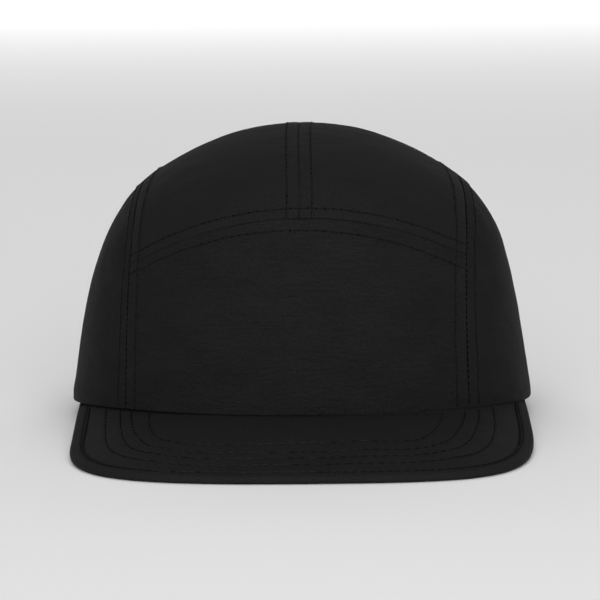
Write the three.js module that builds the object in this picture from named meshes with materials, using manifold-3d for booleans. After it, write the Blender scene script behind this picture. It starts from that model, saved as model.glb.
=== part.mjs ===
// A five panel camp cap, lying on a table as it does by itself.
// The crown is one front panel, two top panels and two side panels, sewn edge to edge.
// A short flat peak with a bound edge is sewn under the front of the crown.
// Inside is a sweatband, and at the back a strap with a slider closes an arched opening.
// Millimetres, +Z up, the peak points to -Y and +X is the cap's left as its wearer has it.

import * as THREE from "three";
import { mergeVertices } from "three/addons/utils/BufferGeometryUtils.js";
import Module from "manifold-3d";

const wasm = await Module();
wasm.setup();

// Crown
const CROWN_WIDTH = 186; // across the base edge
const CROWN_LENGTH = 192; // front to back along the base edge
const CROWN_HEIGHT = 117.5; // from the table to the top
const FRONT_LIFT = 15.9; // how far the peak holds the front of the base edge off the table
const FRONT_SQUARENESS = 2.05; // 2 is an ellipse, more is boxier
const BACK_SQUARENESS = 2.15;
const WALL = 1.6; // cloth with its seam allowances
const SEAM_GAP = 0.3; // between pieces that are sewn together

// Seams and panels
const FRONT_PANEL_BASE_WIDTH = 133;
const FRONT_PANEL_TOP_WIDTH = 130;
const FRONT_PANEL_HEIGHT = 74; // up the middle, from the base edge to the arched seam
const ARCH_DROP = 20; // how much lower the arched seam ends than its middle
const ARCH_POWER = 2.1;
const TOP_PANELS_BACK_WIDTH = 95;
const TOP_TAPER_POWER = 1.6;

// Opening at the back
const OPENING_WIDTH = 64;
const OPENING_HEIGHT = 42;

// Peak
const PEAK_REACH = 53.5; // in front of the crown
const PEAK_INSET = 4; // on each side, its straight sides from the crown's widest
const PEAK_CORNER_DEPTH = 60; // from the front edge back to the straight sides
const PEAK_CORNER_PULL = 0.83; // share of that depth that the corner fills at the side
const PEAK_FRONT_PULL = 0.7; // share of half the width that it fills at the front
const PEAK_THICKNESS = 2.6; // board between two cloths
const PEAK_TUCK = 14; // how far its lines run on under the crown
const BINDING_THICKNESS = 3.2;
const BINDING_WIDTH = 4.6;

// Sweatband, strap and slider
const BAND_HEIGHT = 30;
const BAND_THICKNESS = 1.2;
const BAND_RAISE = 1; // its lower edge above the crown's
const BAND_END_GAP = 1; // from its ends to the strap's
const STRAP_WIDTH = 20;
const STRAP_THICKNESS = 1.2;
const STRAP_RAISE = 4; // its lower edge above the table
const STRAP_OVERLAP = 12; // behind each leg of the opening
const STRAP_GAP = 0.9; // the strap stands upright and the wall behind it leans a little
const SLIDER_THICKNESS = 2;
const SLIDER_BAR = 3;
const SLIDER_SLOT = 7;
const SLIDER_CORNER = 2;
const SLOT_ROOM = 0.75; // above and below the strap

// The crown's levels, from its base edge to its top.
// rise is a share of the way up, half_width of half the width, front and back of half the length.
const CROWN_LEVELS = [
  { rise: 0.0, half_width: 1.0, front: 1.0, back: 1.0 },
  { rise: 0.1, half_width: 0.98, front: 0.997, back: 1.003 },
  { rise: 0.22, half_width: 0.958, front: 0.99, back: 0.998 },
  { rise: 0.36, half_width: 0.93, front: 0.977, back: 0.977 },
  { rise: 0.5, half_width: 0.891, front: 0.954, back: 0.938 },
  { rise: 0.62, half_width: 0.838, front: 0.922, back: 0.884 },
  { rise: 0.72, half_width: 0.765, front: 0.884, back: 0.81 },
  { rise: 0.8, half_width: 0.677, front: 0.825, back: 0.708 },
  { rise: 0.87, half_width: 0.553, front: 0.735, back: 0.583 },
  { rise: 0.93, half_width: 0.409, front: 0.595, back: 0.41 },
  { rise: 0.97, half_width: 0.277, front: 0.425, back: 0.255 },
  { rise: 1.0, half_width: 0.0, front: 0.12, back: -0.12 },
];

// How finely the cloth is faceted
const FRONT_ROWS = 9;
const FRONT_COLUMNS = 16;
const TOP_ROWS = 20;
const TOP_COLUMNS = 10;
const SIDE_ROWS = 9;
const PEAK_COLUMNS = 30; // on each side of the middle
const PEAK_ROWS = 5;
const ROLL_ANGLES = [0, 30, 60, 90]; // round the binding's outer side
const BAND_COLUMNS = 56;
const BAND_ROWS = 2;
const STRAP_STEP = 1;
const OUTLINE_STEPS = 96;
const CAST_HALVINGS = 40;
const TINY = 1e-5;
const PROBE = 0.05; // the step with which a slope is measured

const halfWidth = CROWN_WIDTH / 2;
const halfLength = CROWN_LENGTH / 2;
const vector = (x, y, z) => new THREE.Vector3(x, y, z);
const { lerp, clamp, smoothstep } = THREE.MathUtils;

// Height of the crown's base edge: on the table at the back, then a straight climb to the front.
const LIFT_STARTS = 0.9; // share of half the length, behind the middle
const LIFT_EASES = 0.25; // share of the climb in which the slope builds up
function baseHeight(y) {
  const along = clamp((LIFT_STARTS - y / halfLength) / (LIFT_STARTS + 1), 0, 1);
  const eased = along < LIFT_EASES ? along ** 2 / (2 * LIFT_EASES) : along - LIFT_EASES / 2;
  return (FRONT_LIFT * eased) / (1 - LIFT_EASES / 2);
}

// The crown's half width and reach at one rise, on a smooth curve through the table.
// Near the top they fall as the root of what is left to climb, so that root is the curve's variable.
const climbLeft = CROWN_LEVELS.map((level) => Math.sqrt(1 - level.rise));
function columnSlope(column, i) {
  const a = Math.max(i - 1, 0);
  const b = Math.min(i + 1, CROWN_LEVELS.length - 1);
  return (CROWN_LEVELS[b][column] - CROWN_LEVELS[a][column]) / (climbLeft[b] - climbLeft[a]);
}
function levelAt(rise, column) {
  const left = Math.sqrt(1 - clamp(rise, 0, 1));
  let i = 0;
  while (i < climbLeft.length - 2 && climbLeft[i + 1] > left) i += 1;
  const span = climbLeft[i + 1] - climbLeft[i];
  const t = (left - climbLeft[i]) / span;
  const from = CROWN_LEVELS[i][column];
  const to = CROWN_LEVELS[i + 1][column];
  const leave = columnSlope(column, i) * span;
  const arrive = columnSlope(column, i + 1) * span;
  const bend = t * t * (3 - 2 * t);
  return lerp(from, to, bend) + t * (1 - t) * ((1 - t) * leave - t * arrive);
}

// Negative inside the crown's outer surface and positive outside.
function crownField(point) {
  const base = baseHeight(point.y);
  const rise = (point.z - base) / (CROWN_HEIGHT - base);
  if (rise >= 1) return 1;
  const width = levelAt(rise, "half_width") * halfWidth;
  const front = -levelAt(rise, "front") * halfLength;
  const back = levelAt(rise, "back") * halfLength;
  const ahead = (point.y - (front + back) / 2) / ((back - front) / 2);
  const power = ahead < 0 ? FRONT_SQUARENESS : BACK_SQUARENESS;
  return Math.abs(point.x / width) ** power + Math.abs(ahead) ** power - 1;
}

// Where a straight line from inside the crown comes out of it.
function castOut(from, towards) {
  let near = 0;
  let far = CROWN_LENGTH + CROWN_WIDTH;
  for (let i = 0; i < CAST_HALVINGS; i += 1) {
    const middle = (near + far) / 2;
    const inside = crownField(from.clone().addScaledVector(towards, middle)) < 0;
    if (inside) near = middle;
    else far = middle;
  }
  return from.clone().addScaledVector(towards, near);
}

// The crown's outward direction at a point of its surface, level along the base edge.
function outward(point) {
  const slope = ["x", "y", "z"].map((axis) => {
    const ahead = point.clone();
    const behind = point.clone();
    ahead[axis] += PROBE;
    behind[axis] -= PROBE;
    return crownField(ahead) - crownField(behind);
  });
  const onBase = Math.abs(point.z - baseHeight(point.y)) < PROBE;
  return vector(slope[0], slope[1], onBase ? 0 : slope[2]).normalize();
}
const inwardBy = (point, depth) => point.clone().addScaledVector(outward(point), -depth);

// A point of the base edge, at an angle from the front: a right angle is the +X side.
function basePoint(turn) {
  const ahead = Math.cos(turn);
  const power = ahead > 0 ? FRONT_SQUARENESS : BACK_SQUARENESS;
  const x = halfWidth * Math.sign(turn) * Math.abs(Math.sin(turn)) ** (2 / power);
  const y = -halfLength * Math.sign(ahead) * Math.abs(ahead) ** (2 / power);
  return vector(x, y, baseHeight(y));
}
const frontTurn = (x) => Math.asin((x / halfWidth) ** (FRONT_SQUARENESS / 2));
const backTurn = (x) => Math.PI - Math.asin((x / halfWidth) ** (BACK_SQUARENESS / 2));

// The middle of the crown, from which its front and top are measured in planes across X.
const MIDDLE_RISE = 0.2;
const middleHeight = MIDDLE_RISE * CROWN_HEIGHT;
const angleOf = (point) => Math.atan2(point.z - middleHeight, -point.y);
const atAngle = (x, angle) =>
  castOut(vector(x, 0, middleHeight), vector(0, -Math.cos(angle), Math.sin(angle)));
const wallPoint = (x, z, towards) => castOut(vector(x, 0, z), vector(0, towards, 0));

// The side seam's distance from the middle, along the front panel and along the top panels.
const frontSeam = (t) => lerp(FRONT_PANEL_BASE_WIDTH, FRONT_PANEL_TOP_WIDTH, t) / 2;
const topSeam = (t) =>
  lerp(FRONT_PANEL_TOP_WIDTH, TOP_PANELS_BACK_WIDTH, t ** TOP_TAPER_POWER) / 2;

// The arched seam over the front panel.
function archPoint(x, above) {
  const side = Math.abs(x) / frontSeam(1);
  const z = FRONT_LIFT + FRONT_PANEL_HEIGHT - ARCH_DROP * side ** ARCH_POWER;
  return wallPoint(x, z + above, -1);
}

// The top panels' back edge: round the arched opening, then along the base edge to the side seam.
const OPENING_SHARE = 0.7; // of that edge's columns
function backPoint(w, seamX) {
  if (w > OPENING_SHARE) {
    const t = (w - OPENING_SHARE) / (1 - OPENING_SHARE);
    return basePoint(backTurn(lerp(OPENING_WIDTH / 2, seamX, t)));
  }
  const around = ((w / OPENING_SHARE) * Math.PI) / 2;
  const x = Math.max((OPENING_WIDTH / 2) * Math.sin(around), SEAM_GAP / 2);
  const z = OPENING_HEIGHT * Math.cos(around);
  return z < TINY ? basePoint(backTurn(x)) : wallPoint(x, z, 1);
}

// A row of the front panel's points, from its -X seam to its +X seam.
function frontPoint(t, w) {
  const x = w * (frontSeam(t) - SEAM_GAP / 2);
  const low = basePoint(Math.sign(w) * frontTurn(Math.abs(w) * (frontSeam(0) - SEAM_GAP / 2)));
  const high = archPoint(w * (frontSeam(1) - SEAM_GAP / 2), -SEAM_GAP / 2);
  if (t === 0) return low;
  if (t === 1) return high;
  return atAngle(x, lerp(angleOf(low), angleOf(high), t));
}

// A point of the +X top panel: t runs from the arched seam to the back, w from the middle to the side.
const BACK_SPREAD_POWER = 3;
function topPoint(t, w, seamGap) {
  const seamX = topSeam(t) + seamGap;
  const start = archPoint(lerp(SEAM_GAP / 2, topSeam(0) + seamGap, w), SEAM_GAP / 2);
  const end = backPoint(w, topSeam(1) + seamGap);
  if (t === 0) return start;
  if (t === 1) return end;
  const straight = lerp(SEAM_GAP / 2, seamX, w);
  const spread = (end.x / (topSeam(1) + seamGap)) * seamX;
  const x = lerp(straight, spread, t ** BACK_SPREAD_POWER);
  return atAngle(x, lerp(angleOf(start), unwrapped(angleOf(end)), t));
}
const unwrapped = (angle) => (angle < 0 ? angle + 2 * Math.PI : angle);

// The side seam on the +X side, as the side panel has it.
function seamPoint(row) {
  const gap = SEAM_GAP / 2;
  if (row < FRONT_ROWS) {
    const t = row / FRONT_ROWS;
    const low = basePoint(frontTurn(frontSeam(0) + gap));
    if (row === 0) return low;
    const high = archPoint(frontSeam(1) + gap, 0);
    return atAngle(frontSeam(t) + gap, lerp(angleOf(low), angleOf(high), t));
  }
  return topPoint((row - FRONT_ROWS) / TOP_ROWS, 1, gap);
}

// A point of the +X side panel: row runs along the seam, w from the seam down to the base edge.
function sidePoint(row, w) {
  const seam = seamPoint(row);
  const share = row / (FRONT_ROWS + TOP_ROWS);
  const firstTurn = frontTurn(frontSeam(0) + SEAM_GAP / 2);
  const lastTurn = backTurn(topSeam(1) + SEAM_GAP / 2);
  const base = basePoint(lerp(firstTurn, lastTurn, share));
  if (w === 0) return seam;
  if (w === 1) return base;
  const middle = vector(0, 0, middleHeight);
  const towards = seam.lerp(base, w).sub(middle).normalize();
  return castOut(middle, towards);
}

// Grids of points
const grid = (rows, columns, pointAt) =>
  Array.from({ length: rows + 1 }, (_, i) =>
    Array.from({ length: columns + 1 }, (_, j) => pointAt(i / rows, j / columns)),
  );
const eachPoint = (points, change) => points.map((row) => row.map(change));

// A closed body between two grids of points, which face each other.
function closedSheet(outer, inner) {
  const corners = [];
  const triangle = (a, b, c) => {
    const flat = a.distanceTo(b) < TINY || b.distanceTo(c) < TINY || c.distanceTo(a) < TINY;
    if (!flat) corners.push(a, b, c);
  };
  const quad = (a, b, c, d) => {
    triangle(a, b, c);
    triangle(a, c, d);
  };
  const rows = outer.length - 1;
  const columns = outer[0].length - 1;
  for (let i = 0; i < rows; i += 1) {
    for (let j = 0; j < columns; j += 1) {
      quad(outer[i][j], outer[i + 1][j], outer[i + 1][j + 1], outer[i][j + 1]);
      quad(inner[i][j], inner[i][j + 1], inner[i + 1][j + 1], inner[i + 1][j]);
    }
    quad(outer[i][0], inner[i][0], inner[i + 1][0], outer[i + 1][0]);
    quad(outer[i][columns], outer[i + 1][columns], inner[i + 1][columns], inner[i][columns]);
  }
  for (let j = 0; j < columns; j += 1) {
    quad(outer[0][j], outer[0][j + 1], inner[0][j + 1], inner[0][j]);
    quad(outer[rows][j], inner[rows][j], inner[rows][j + 1], outer[rows][j + 1]);
  }
  return facingOut(corners);
}

// A geometry from triangles' corners, turned so that its faces point outwards.
function facingOut(corners) {
  let volume = 0;
  for (let i = 0; i < corners.length; i += 3) {
    volume += corners[i].dot(corners[i + 1].clone().cross(corners[i + 2]));
  }
  if (volume < 0) corners.reverse();
  return new THREE.BufferGeometry().setFromPoints(corners);
}

// three.js geometry to a solid that can be cut, and back
function solidOf(geometry) {
  const bare = new THREE.BufferGeometry();
  const plain = geometry.index ? geometry.toNonIndexed() : geometry;
  bare.setAttribute("position", plain.getAttribute("position"));
  const merged = mergeVertices(bare, TINY);
  const mesh = new wasm.Mesh({
    numProp: 3,
    vertProperties: merged.attributes.position.array,
    triVerts: new Uint32Array(merged.index.array),
  });
  return new wasm.Manifold(mesh);
}
function geometryOf(solid) {
  const mesh = solid.getMesh();
  const geometry = new THREE.BufferGeometry();
  geometry.setAttribute("position", new THREE.BufferAttribute(mesh.vertProperties, 3));
  geometry.setIndex(new THREE.BufferAttribute(mesh.triVerts, 1));
  return geometry;
}

// Crown panels: a sheet of cloth from the outer surface inwards.
function clothPanel(points) {
  return closedSheet(
    points,
    eachPoint(points, (point) => inwardBy(point, WALL)),
  );
}
const mirrored = (points) => eachPoint(points, (point) => vector(-point.x, point.y, point.z));
const frontPanelPoints = () => grid(FRONT_ROWS, FRONT_COLUMNS, (t, w) => frontPoint(t, 2 * w - 1));
const topPanelPoints = () => grid(TOP_ROWS, TOP_COLUMNS, (t, w) => topPoint(t, w, -SEAM_GAP / 2));
const sidePanelPoints = () => {
  const rows = FRONT_ROWS + TOP_ROWS;
  return grid(rows, SIDE_ROWS, (t, w) => sidePoint(Math.round(t * rows), w));
};

// The peak's outer edge on the +X side, from under the crown to the middle of the front.
const peakFront = -halfLength - PEAK_REACH;
const TAIL_AHEAD = 0.2; // where the peak's sides start, as a share of half the length
const peakTailY = -TAIL_AHEAD * halfLength;
const peakSide = halfWidth - PEAK_INSET;
function peakOutline() {
  const tail = new THREE.Vector2(peakSide, peakTailY);
  const corner = new THREE.Vector2(peakSide, peakFront + PEAK_CORNER_DEPTH);
  const path = new THREE.CurvePath();
  path.add(new THREE.LineCurve(tail, corner));
  path.add(
    new THREE.CubicBezierCurve(
      corner,
      new THREE.Vector2(peakSide, corner.y - PEAK_CORNER_PULL * PEAK_CORNER_DEPTH),
      new THREE.Vector2(peakSide * PEAK_FRONT_PULL, peakFront),
      new THREE.Vector2(0, peakFront),
    ),
  );
  return path.getSpacedPoints(PEAK_COLUMNS);
}

// The peak's edge rests on the table round the front, and climbs to pass under the crown.
const RESTING_CORNER = 0.6; // share of the corner's depth that rests
const joinY = basePoint(frontTurn(peakSide)).y;
const restY = peakFront + RESTING_CORNER * PEAK_CORNER_DEPTH;
const bindingRadius = BINDING_THICKNESS / 2;
const underCrown = (y, thickness) => baseHeight(y) - SEAM_GAP - thickness / 2;
function edgeHeight(line) {
  const run = Math.max(line.meets, BINDING_WIDTH);
  const rise = underCrown(line.wallY, line.thickness);
  const resting = (bindingRadius * (run - rise)) / (run - bindingRadius);
  const climb = clamp((line.start.y - restY) / (joinY - restY), 0, 1) ** 2;
  return lerp(resting, underCrown(line.start.y, BINDING_THICKNESS), climb);
}

// The peak's middle layer as straight lines from its outer edge to a line inside the crown.
// Each line has a start on the edge, a direction, a length, and where it meets the wall's inner face.
function peakLines() {
  const tailTurn = Math.acos(-peakTailY / halfLength);
  const outline = peakOutline();
  const right = outline.map((edge, i) => {
    const turn = tailTurn * (1 - i / PEAK_COLUMNS);
    const base = basePoint(turn);
    const end = inwardBy(base, PEAK_TUCK);
    const start = vector(edge.x, edge.y, 0);
    const along = vector(end.x - start.x, end.y - start.y, 0);
    const length = along.length();
    along.normalize();
    const meets = crownCrossing(start, along, length);
    const wallY = start.y + along.y * meets;
    const thickness = lerp(PEAK_THICKNESS, BINDING_THICKNESS, bindingShare(meets));
    return { start, along, length, meets, wallY, thickness };
  });
  const left = right.slice(0, -1).map((line) => ({
    ...line,
    start: vector(-line.start.x, line.start.y, 0),
    along: vector(-line.along.x, line.along.y, 0),
  }));
  return [...left, ...right.reverse()];
}
// How much of the crown's edge lies over the thicker binding, where a line meets it this far in.
const bindingShare = (meets) => 1 - smoothstep(meets, BINDING_WIDTH, 2 * BINDING_WIDTH);
function crownCrossing(start, along, length) {
  const outside = (distance) => {
    const point = start.clone().addScaledVector(along, distance);
    point.z = baseHeight(point.y);
    return crownField(inwardBy(point, -WALL)) > 0;
  };
  let near = 0;
  let far = length;
  if (!outside(near)) return 0;
  for (let i = 0; i < CAST_HALVINGS; i += 1) {
    const middle = (near + far) / 2;
    if (outside(middle)) near = middle;
    else far = middle;
  }
  return near;
}

// A point of the peak's middle layer, a distance in from the edge along one of its lines.
function peakPoint(line, distance) {
  const point = line.start.clone().addScaledVector(line.along, distance);
  const share = distance / Math.max(line.meets, BINDING_WIDTH);
  point.z = lerp(edgeHeight(line), underCrown(line.wallY, line.thickness), share);
  return point;
}

// Grids of points at a height over the peak's middle layer, which follow its slope.
function peakLayer(lines, places) {
  const middle = lines.map((line) => places.map(({ inset }) => peakPoint(line, inset(line))));
  return middle.map((row, i) =>
    row.map((point, j) => {
      const before = middle[Math.max(i - 1, 0)][j];
      const after = middle[Math.min(i + 1, middle.length - 1)][j];
      const across = after.clone().sub(before);
      const slope = peakPoint(lines[i], places[j].inset(lines[i]) + 1)
        .sub(peakPoint(lines[i], places[j].inset(lines[i])));
      const up = across.cross(slope).normalize();
      return point.addScaledVector(up.z < 0 ? up.negate() : up, places[j].over);
    }),
  );
}

// What the crown's wall leaves of the peak: everything outside its inner face.
function insideOfCrown() {
  const outline = new THREE.Shape();
  for (let i = 0; i < OUTLINE_STEPS; i += 1) {
    const turn = -Math.PI + (2 * Math.PI * i) / OUTLINE_STEPS;
    const point = inwardBy(basePoint(turn), WALL);
    if (i === 0) outline.moveTo(point.x, point.y);
    else outline.lineTo(point.x, point.y);
  }
  outline.closePath();
  const core = new THREE.ExtrudeGeometry(outline, { depth: CROWN_HEIGHT, bevelEnabled: false });
  return solidOf(core.translate(0, 0, -CROWN_HEIGHT / 2));
}

function peakBoard(lines, core) {
  const edge = BINDING_WIDTH + SEAM_GAP;
  const places = (over) =>
    Array.from({ length: PEAK_ROWS + 1 }, (_, j) => ({
      inset: (line) => lerp(edge, line.length, j / PEAK_ROWS),
      over,
    }));
  const top = peakLayer(lines, places(PEAK_THICKNESS / 2));
  const bottom = peakLayer(lines, places(-PEAK_THICKNESS / 2));
  return geometryOf(solidOf(closedSheet(top, bottom)).subtract(core));
}

// The binding is a strip along the peak's edge: rounded outside, flat where it meets the peak.
function peakBinding(lines, core) {
  const place = (inset, over) => ({ inset: () => inset, over });
  const face = (side) => [
    ...ROLL_ANGLES.map((degrees) => {
      const angle = THREE.MathUtils.degToRad(degrees);
      return place(bindingRadius * (1 - Math.cos(angle)), side * bindingRadius * Math.sin(angle));
    }),
    place(BINDING_WIDTH, side * bindingRadius),
  ];
  const strip = closedSheet(peakLayer(lines, face(1)), peakLayer(lines, face(-1)));
  return geometryOf(solidOf(strip).subtract(core));
}

// The sweatband lines the crown's lower edge from one strap end round the front to the other.
const layerDepth = WALL + SEAM_GAP;
function sweatband() {
  const lastTurn = backTurn(OPENING_WIDTH / 2 + STRAP_OVERLAP + BAND_END_GAP);
  const rise = (share) => (BAND_RAISE + share * BAND_HEIGHT) / CROWN_HEIGHT;
  const pointAt = (t, w) => {
    const base = basePoint(lerp(-lastTurn, lastTurn, t));
    const z = lerp(base.z, CROWN_HEIGHT, rise(w));
    const level = vector(0, 0, z);
    return castOut(level, vector(base.x, base.y, 0).normalize());
  };
  const wall = grid(BAND_COLUMNS, BAND_ROWS, pointAt);
  const outer = eachPoint(wall, (point) => inwardBy(point, layerDepth));
  const inner = eachPoint(wall, (point) => inwardBy(point, layerDepth + BAND_THICKNESS));
  return closedSheet(outer, inner);
}

// The strap runs behind the opening's legs, and out over the slider's middle bar.
const strapMiddle = STRAP_RAISE + STRAP_WIDTH / 2;
const strapHalfLength = OPENING_WIDTH / 2 + STRAP_OVERLAP;
const strapDepth = WALL + STRAP_GAP + STRAP_THICKNESS / 2;
const sliderOffset = SLIDER_THICKNESS / 2 + SEAM_GAP + STRAP_THICKNESS / 2;
function strapPoint(x, z) {
  const inSlot = SLIDER_BAR / 2 + STRAP_THICKNESS;
  const outOfSlot = SLIDER_BAR / 2 + SLIDER_SLOT - STRAP_THICKNESS;
  const forward = 2 * sliderOffset * (1 - smoothstep(Math.abs(x), inSlot, outOfSlot));
  return inwardBy(wallPoint(x, strapMiddle, 1), strapDepth - forward).setZ(z);
}
function strap() {
  const steps = Math.ceil((2 * strapHalfLength) / STRAP_STEP);
  const face = (side) =>
    grid(steps, 1, (t, w) => {
      const x = lerp(-strapHalfLength, strapHalfLength, t);
      const z = strapMiddle + (w - 0.5) * STRAP_WIDTH;
      const along = strapPoint(x + PROBE, z).sub(strapPoint(x - PROBE, z));
      const across = vector(-along.y, along.x, 0).normalize();
      return strapPoint(x, z).addScaledVector(across, (side * STRAP_THICKNESS) / 2);
    });
  return closedSheet(face(1), face(-1));
}

// The slider is a flat plate with two slots, which the strap is threaded through.
const sliderY = wallPoint(0, strapMiddle, 1).y - strapDepth + sliderOffset;
function slider() {
  const slotHeight = STRAP_WIDTH + 2 * SLOT_ROOM;
  const high = slotHeight / 2 + SLIDER_BAR;
  const wide = 1.5 * SLIDER_BAR + SLIDER_SLOT;
  const r = SLIDER_CORNER;
  const outline = new THREE.Shape();
  outline.absarc(wide - r, r - high, r, -Math.PI / 2, 0);
  outline.absarc(wide - r, high - r, r, 0, Math.PI / 2);
  outline.absarc(r - wide, high - r, r, Math.PI / 2, Math.PI);
  outline.absarc(r - wide, r - high, r, Math.PI, 1.5 * Math.PI);
  outline.closePath();
  const options = { depth: SLIDER_THICKNESS, bevelEnabled: false, curveSegments: 4 };
  let plate = solidOf(new THREE.ExtrudeGeometry(outline, options));
  for (const side of [-1, 1]) {
    const slot = new THREE.BoxGeometry(SLIDER_SLOT, slotHeight, 4 * SLIDER_THICKNESS);
    plate = plate.subtract(solidOf(slot.translate((side * (SLIDER_BAR + SLIDER_SLOT)) / 2, 0, 0)));
  }
  return geometryOf(plate).translate(0, 0, -SLIDER_THICKNESS / 2);
}

// Materials
const shellCloth = new THREE.MeshStandardMaterial({ color: 0x161617, roughness: 0.62 });
const peakCloth = new THREE.MeshStandardMaterial({ color: 0x171718, roughness: 0.6 });
const bindingCloth = new THREE.MeshStandardMaterial({ color: 0x19191a, roughness: 0.58 });
const bandCloth = new THREE.MeshStandardMaterial({ color: 0x131313, roughness: 0.85 });
const webbing = new THREE.MeshStandardMaterial({ color: 0x141414, roughness: 0.75 });
const plastic = new THREE.MeshStandardMaterial({ color: 0x0e0e0e, roughness: 0.4 });

function piece(name, geometry, material) {
  const mesh = new THREE.Mesh(geometry, material);
  mesh.name = name;
  return mesh;
}

const crown = new THREE.Group();
crown.add(piece("front_panel", clothPanel(frontPanelPoints()), shellCloth));
crown.add(piece("top_panel_left", clothPanel(topPanelPoints()), shellCloth));
crown.add(piece("top_panel_right", clothPanel(mirrored(topPanelPoints())), shellCloth));
crown.add(piece("side_panel_left", clothPanel(sidePanelPoints()), shellCloth));
crown.add(piece("side_panel_right", clothPanel(mirrored(sidePanelPoints())), shellCloth));
crown.add(piece("sweatband", sweatband(), bandCloth));

const lines = peakLines();
const core = insideOfCrown();
const peak = new THREE.Group();
peak.add(piece("peak", peakBoard(lines, core), peakCloth));
peak.add(piece("peak_binding", peakBinding(lines, core), bindingCloth));

const closure = new THREE.Group();
closure.add(piece("back_strap", strap(), webbing));
const sliderPiece = piece("strap_slider", slider(), plastic);
sliderPiece.rotation.x = Math.PI / 2;
sliderPiece.position.set(0, sliderY, strapMiddle);
closure.add(sliderPiece);

// The origin is under the middle of the whole cap, on the table.
const cap = new THREE.Group();
cap.add(crown, peak, closure);
cap.updateMatrixWorld(true);
const bounds = new THREE.Box3().setFromObject(cap, true);
cap.position.set(0, -(bounds.min.y + bounds.max.y) / 2, -bounds.min.z);

export default cap;
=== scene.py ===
"""A black five panel cap at rest on a pale floor, dressed in crinkled nylon, thread and webbing.

The crown's surface is worked out again from the same named sizes as the solids, in metres.
Each cloth piece is a fine sheet on that surface, with its seams, stitch rows and creases in relief.
The peak points to -Y and the table is at z = 0.
"""
import math
from collections import namedtuple

import bmesh
import bpy
import numpy as np
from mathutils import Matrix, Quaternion, Vector
from mathutils.bvhtree import BVHTree
from mathutils.kdtree import KDTree


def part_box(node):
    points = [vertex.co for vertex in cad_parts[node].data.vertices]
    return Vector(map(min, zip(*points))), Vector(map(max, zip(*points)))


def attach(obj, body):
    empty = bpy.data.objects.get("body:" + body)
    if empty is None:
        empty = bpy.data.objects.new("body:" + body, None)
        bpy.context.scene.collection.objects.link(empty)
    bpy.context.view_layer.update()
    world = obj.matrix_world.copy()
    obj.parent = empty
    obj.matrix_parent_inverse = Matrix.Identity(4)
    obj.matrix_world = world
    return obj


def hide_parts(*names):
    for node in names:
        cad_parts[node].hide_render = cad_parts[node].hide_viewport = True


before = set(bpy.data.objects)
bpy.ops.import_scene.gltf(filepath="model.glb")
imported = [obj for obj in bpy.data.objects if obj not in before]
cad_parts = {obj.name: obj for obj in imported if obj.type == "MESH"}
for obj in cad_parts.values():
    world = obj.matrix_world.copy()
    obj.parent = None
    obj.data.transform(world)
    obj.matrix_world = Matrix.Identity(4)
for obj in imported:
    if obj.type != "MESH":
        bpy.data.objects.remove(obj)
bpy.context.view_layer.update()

MM = 0.001

# Crown, as in the solids
CROWN_WIDTH = 186 * MM
CROWN_LENGTH = 192 * MM
CROWN_HEIGHT = 117.5 * MM
FRONT_LIFT = 15.9 * MM
FRONT_SQUARENESS = 2.05
BACK_SQUARENESS = 2.15
WALL = 1.6 * MM
FRONT_PANEL_BASE_WIDTH = 133 * MM
FRONT_PANEL_TOP_WIDTH = 130 * MM
FRONT_PANEL_HEIGHT = 74 * MM
ARCH_DROP = 20 * MM
ARCH_POWER = 2.1
TOP_PANELS_BACK_WIDTH = 95 * MM
TOP_TAPER_POWER = 1.6
BACK_SPREAD_POWER = 3
OPENING_WIDTH = 64 * MM
OPENING_HEIGHT = 42 * MM
OPENING_SHARE = 0.7
FRONT_ROW_SHARE = 9 / 29  # share of the side seam that lies along the front panel
LIFT_STARTS = 0.9
LIFT_EASES = 0.25
MIDDLE_RISE = 0.2
# rise, half width, front, back
CROWN_LEVELS = np.array([
    (0.0, 1.0, 1.0, 1.0),
    (0.1, 0.98, 0.997, 1.003),
    (0.22, 0.958, 0.99, 0.998),
    (0.36, 0.93, 0.977, 0.977),
    (0.5, 0.891, 0.954, 0.938),
    (0.62, 0.838, 0.922, 0.884),
    (0.72, 0.765, 0.884, 0.81),
    (0.8, 0.677, 0.825, 0.708),
    (0.87, 0.553, 0.735, 0.583),
    (0.93, 0.409, 0.595, 0.41),
    (0.97, 0.277, 0.425, 0.255),
    (1.0, 0.0, 0.12, -0.12),
])
RISE_COLUMN, HALF_WIDTH_COLUMN, FRONT_COLUMN, BACK_COLUMN = range(4)

# Peak, as in the solids
PEAK_REACH = 53.5 * MM
PEAK_INSET = 4 * MM
PEAK_CORNER_DEPTH = 60 * MM
# depth, pull and front pull of each corner: this cap's right one, at +X, is rounder
LEFT_CORNER = (PEAK_CORNER_DEPTH, 0.83, 0.7)
RIGHT_CORNER = (80 * MM, 0.95, 0.74)
PEAK_THICKNESS = 2.6 * MM
PEAK_TUCK = 14 * MM
TAIL_AHEAD = 0.2
RESTING_CORNER = 0.6
SEAM_GAP = 0.3 * MM
BINDING_THICKNESS = 3.2 * MM
BINDING_WIDTH = 4.6 * MM

# Sweatband, strap and slider, as in the solids
BAND_HEIGHT = 30 * MM
BAND_THICKNESS = 1.2 * MM
BAND_RAISE = 1 * MM
BAND_END_GAP = 1 * MM
STRAP_WIDTH = 20 * MM
STRAP_THICKNESS = 1.2 * MM
STRAP_RAISE = 4 * MM
STRAP_OVERLAP = 12 * MM
STRAP_GAP = 0.9 * MM
SLIDER_THICKNESS = 2 * MM
SLIDER_BAR = 3 * MM
SLIDER_SLOT = 7 * MM

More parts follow.
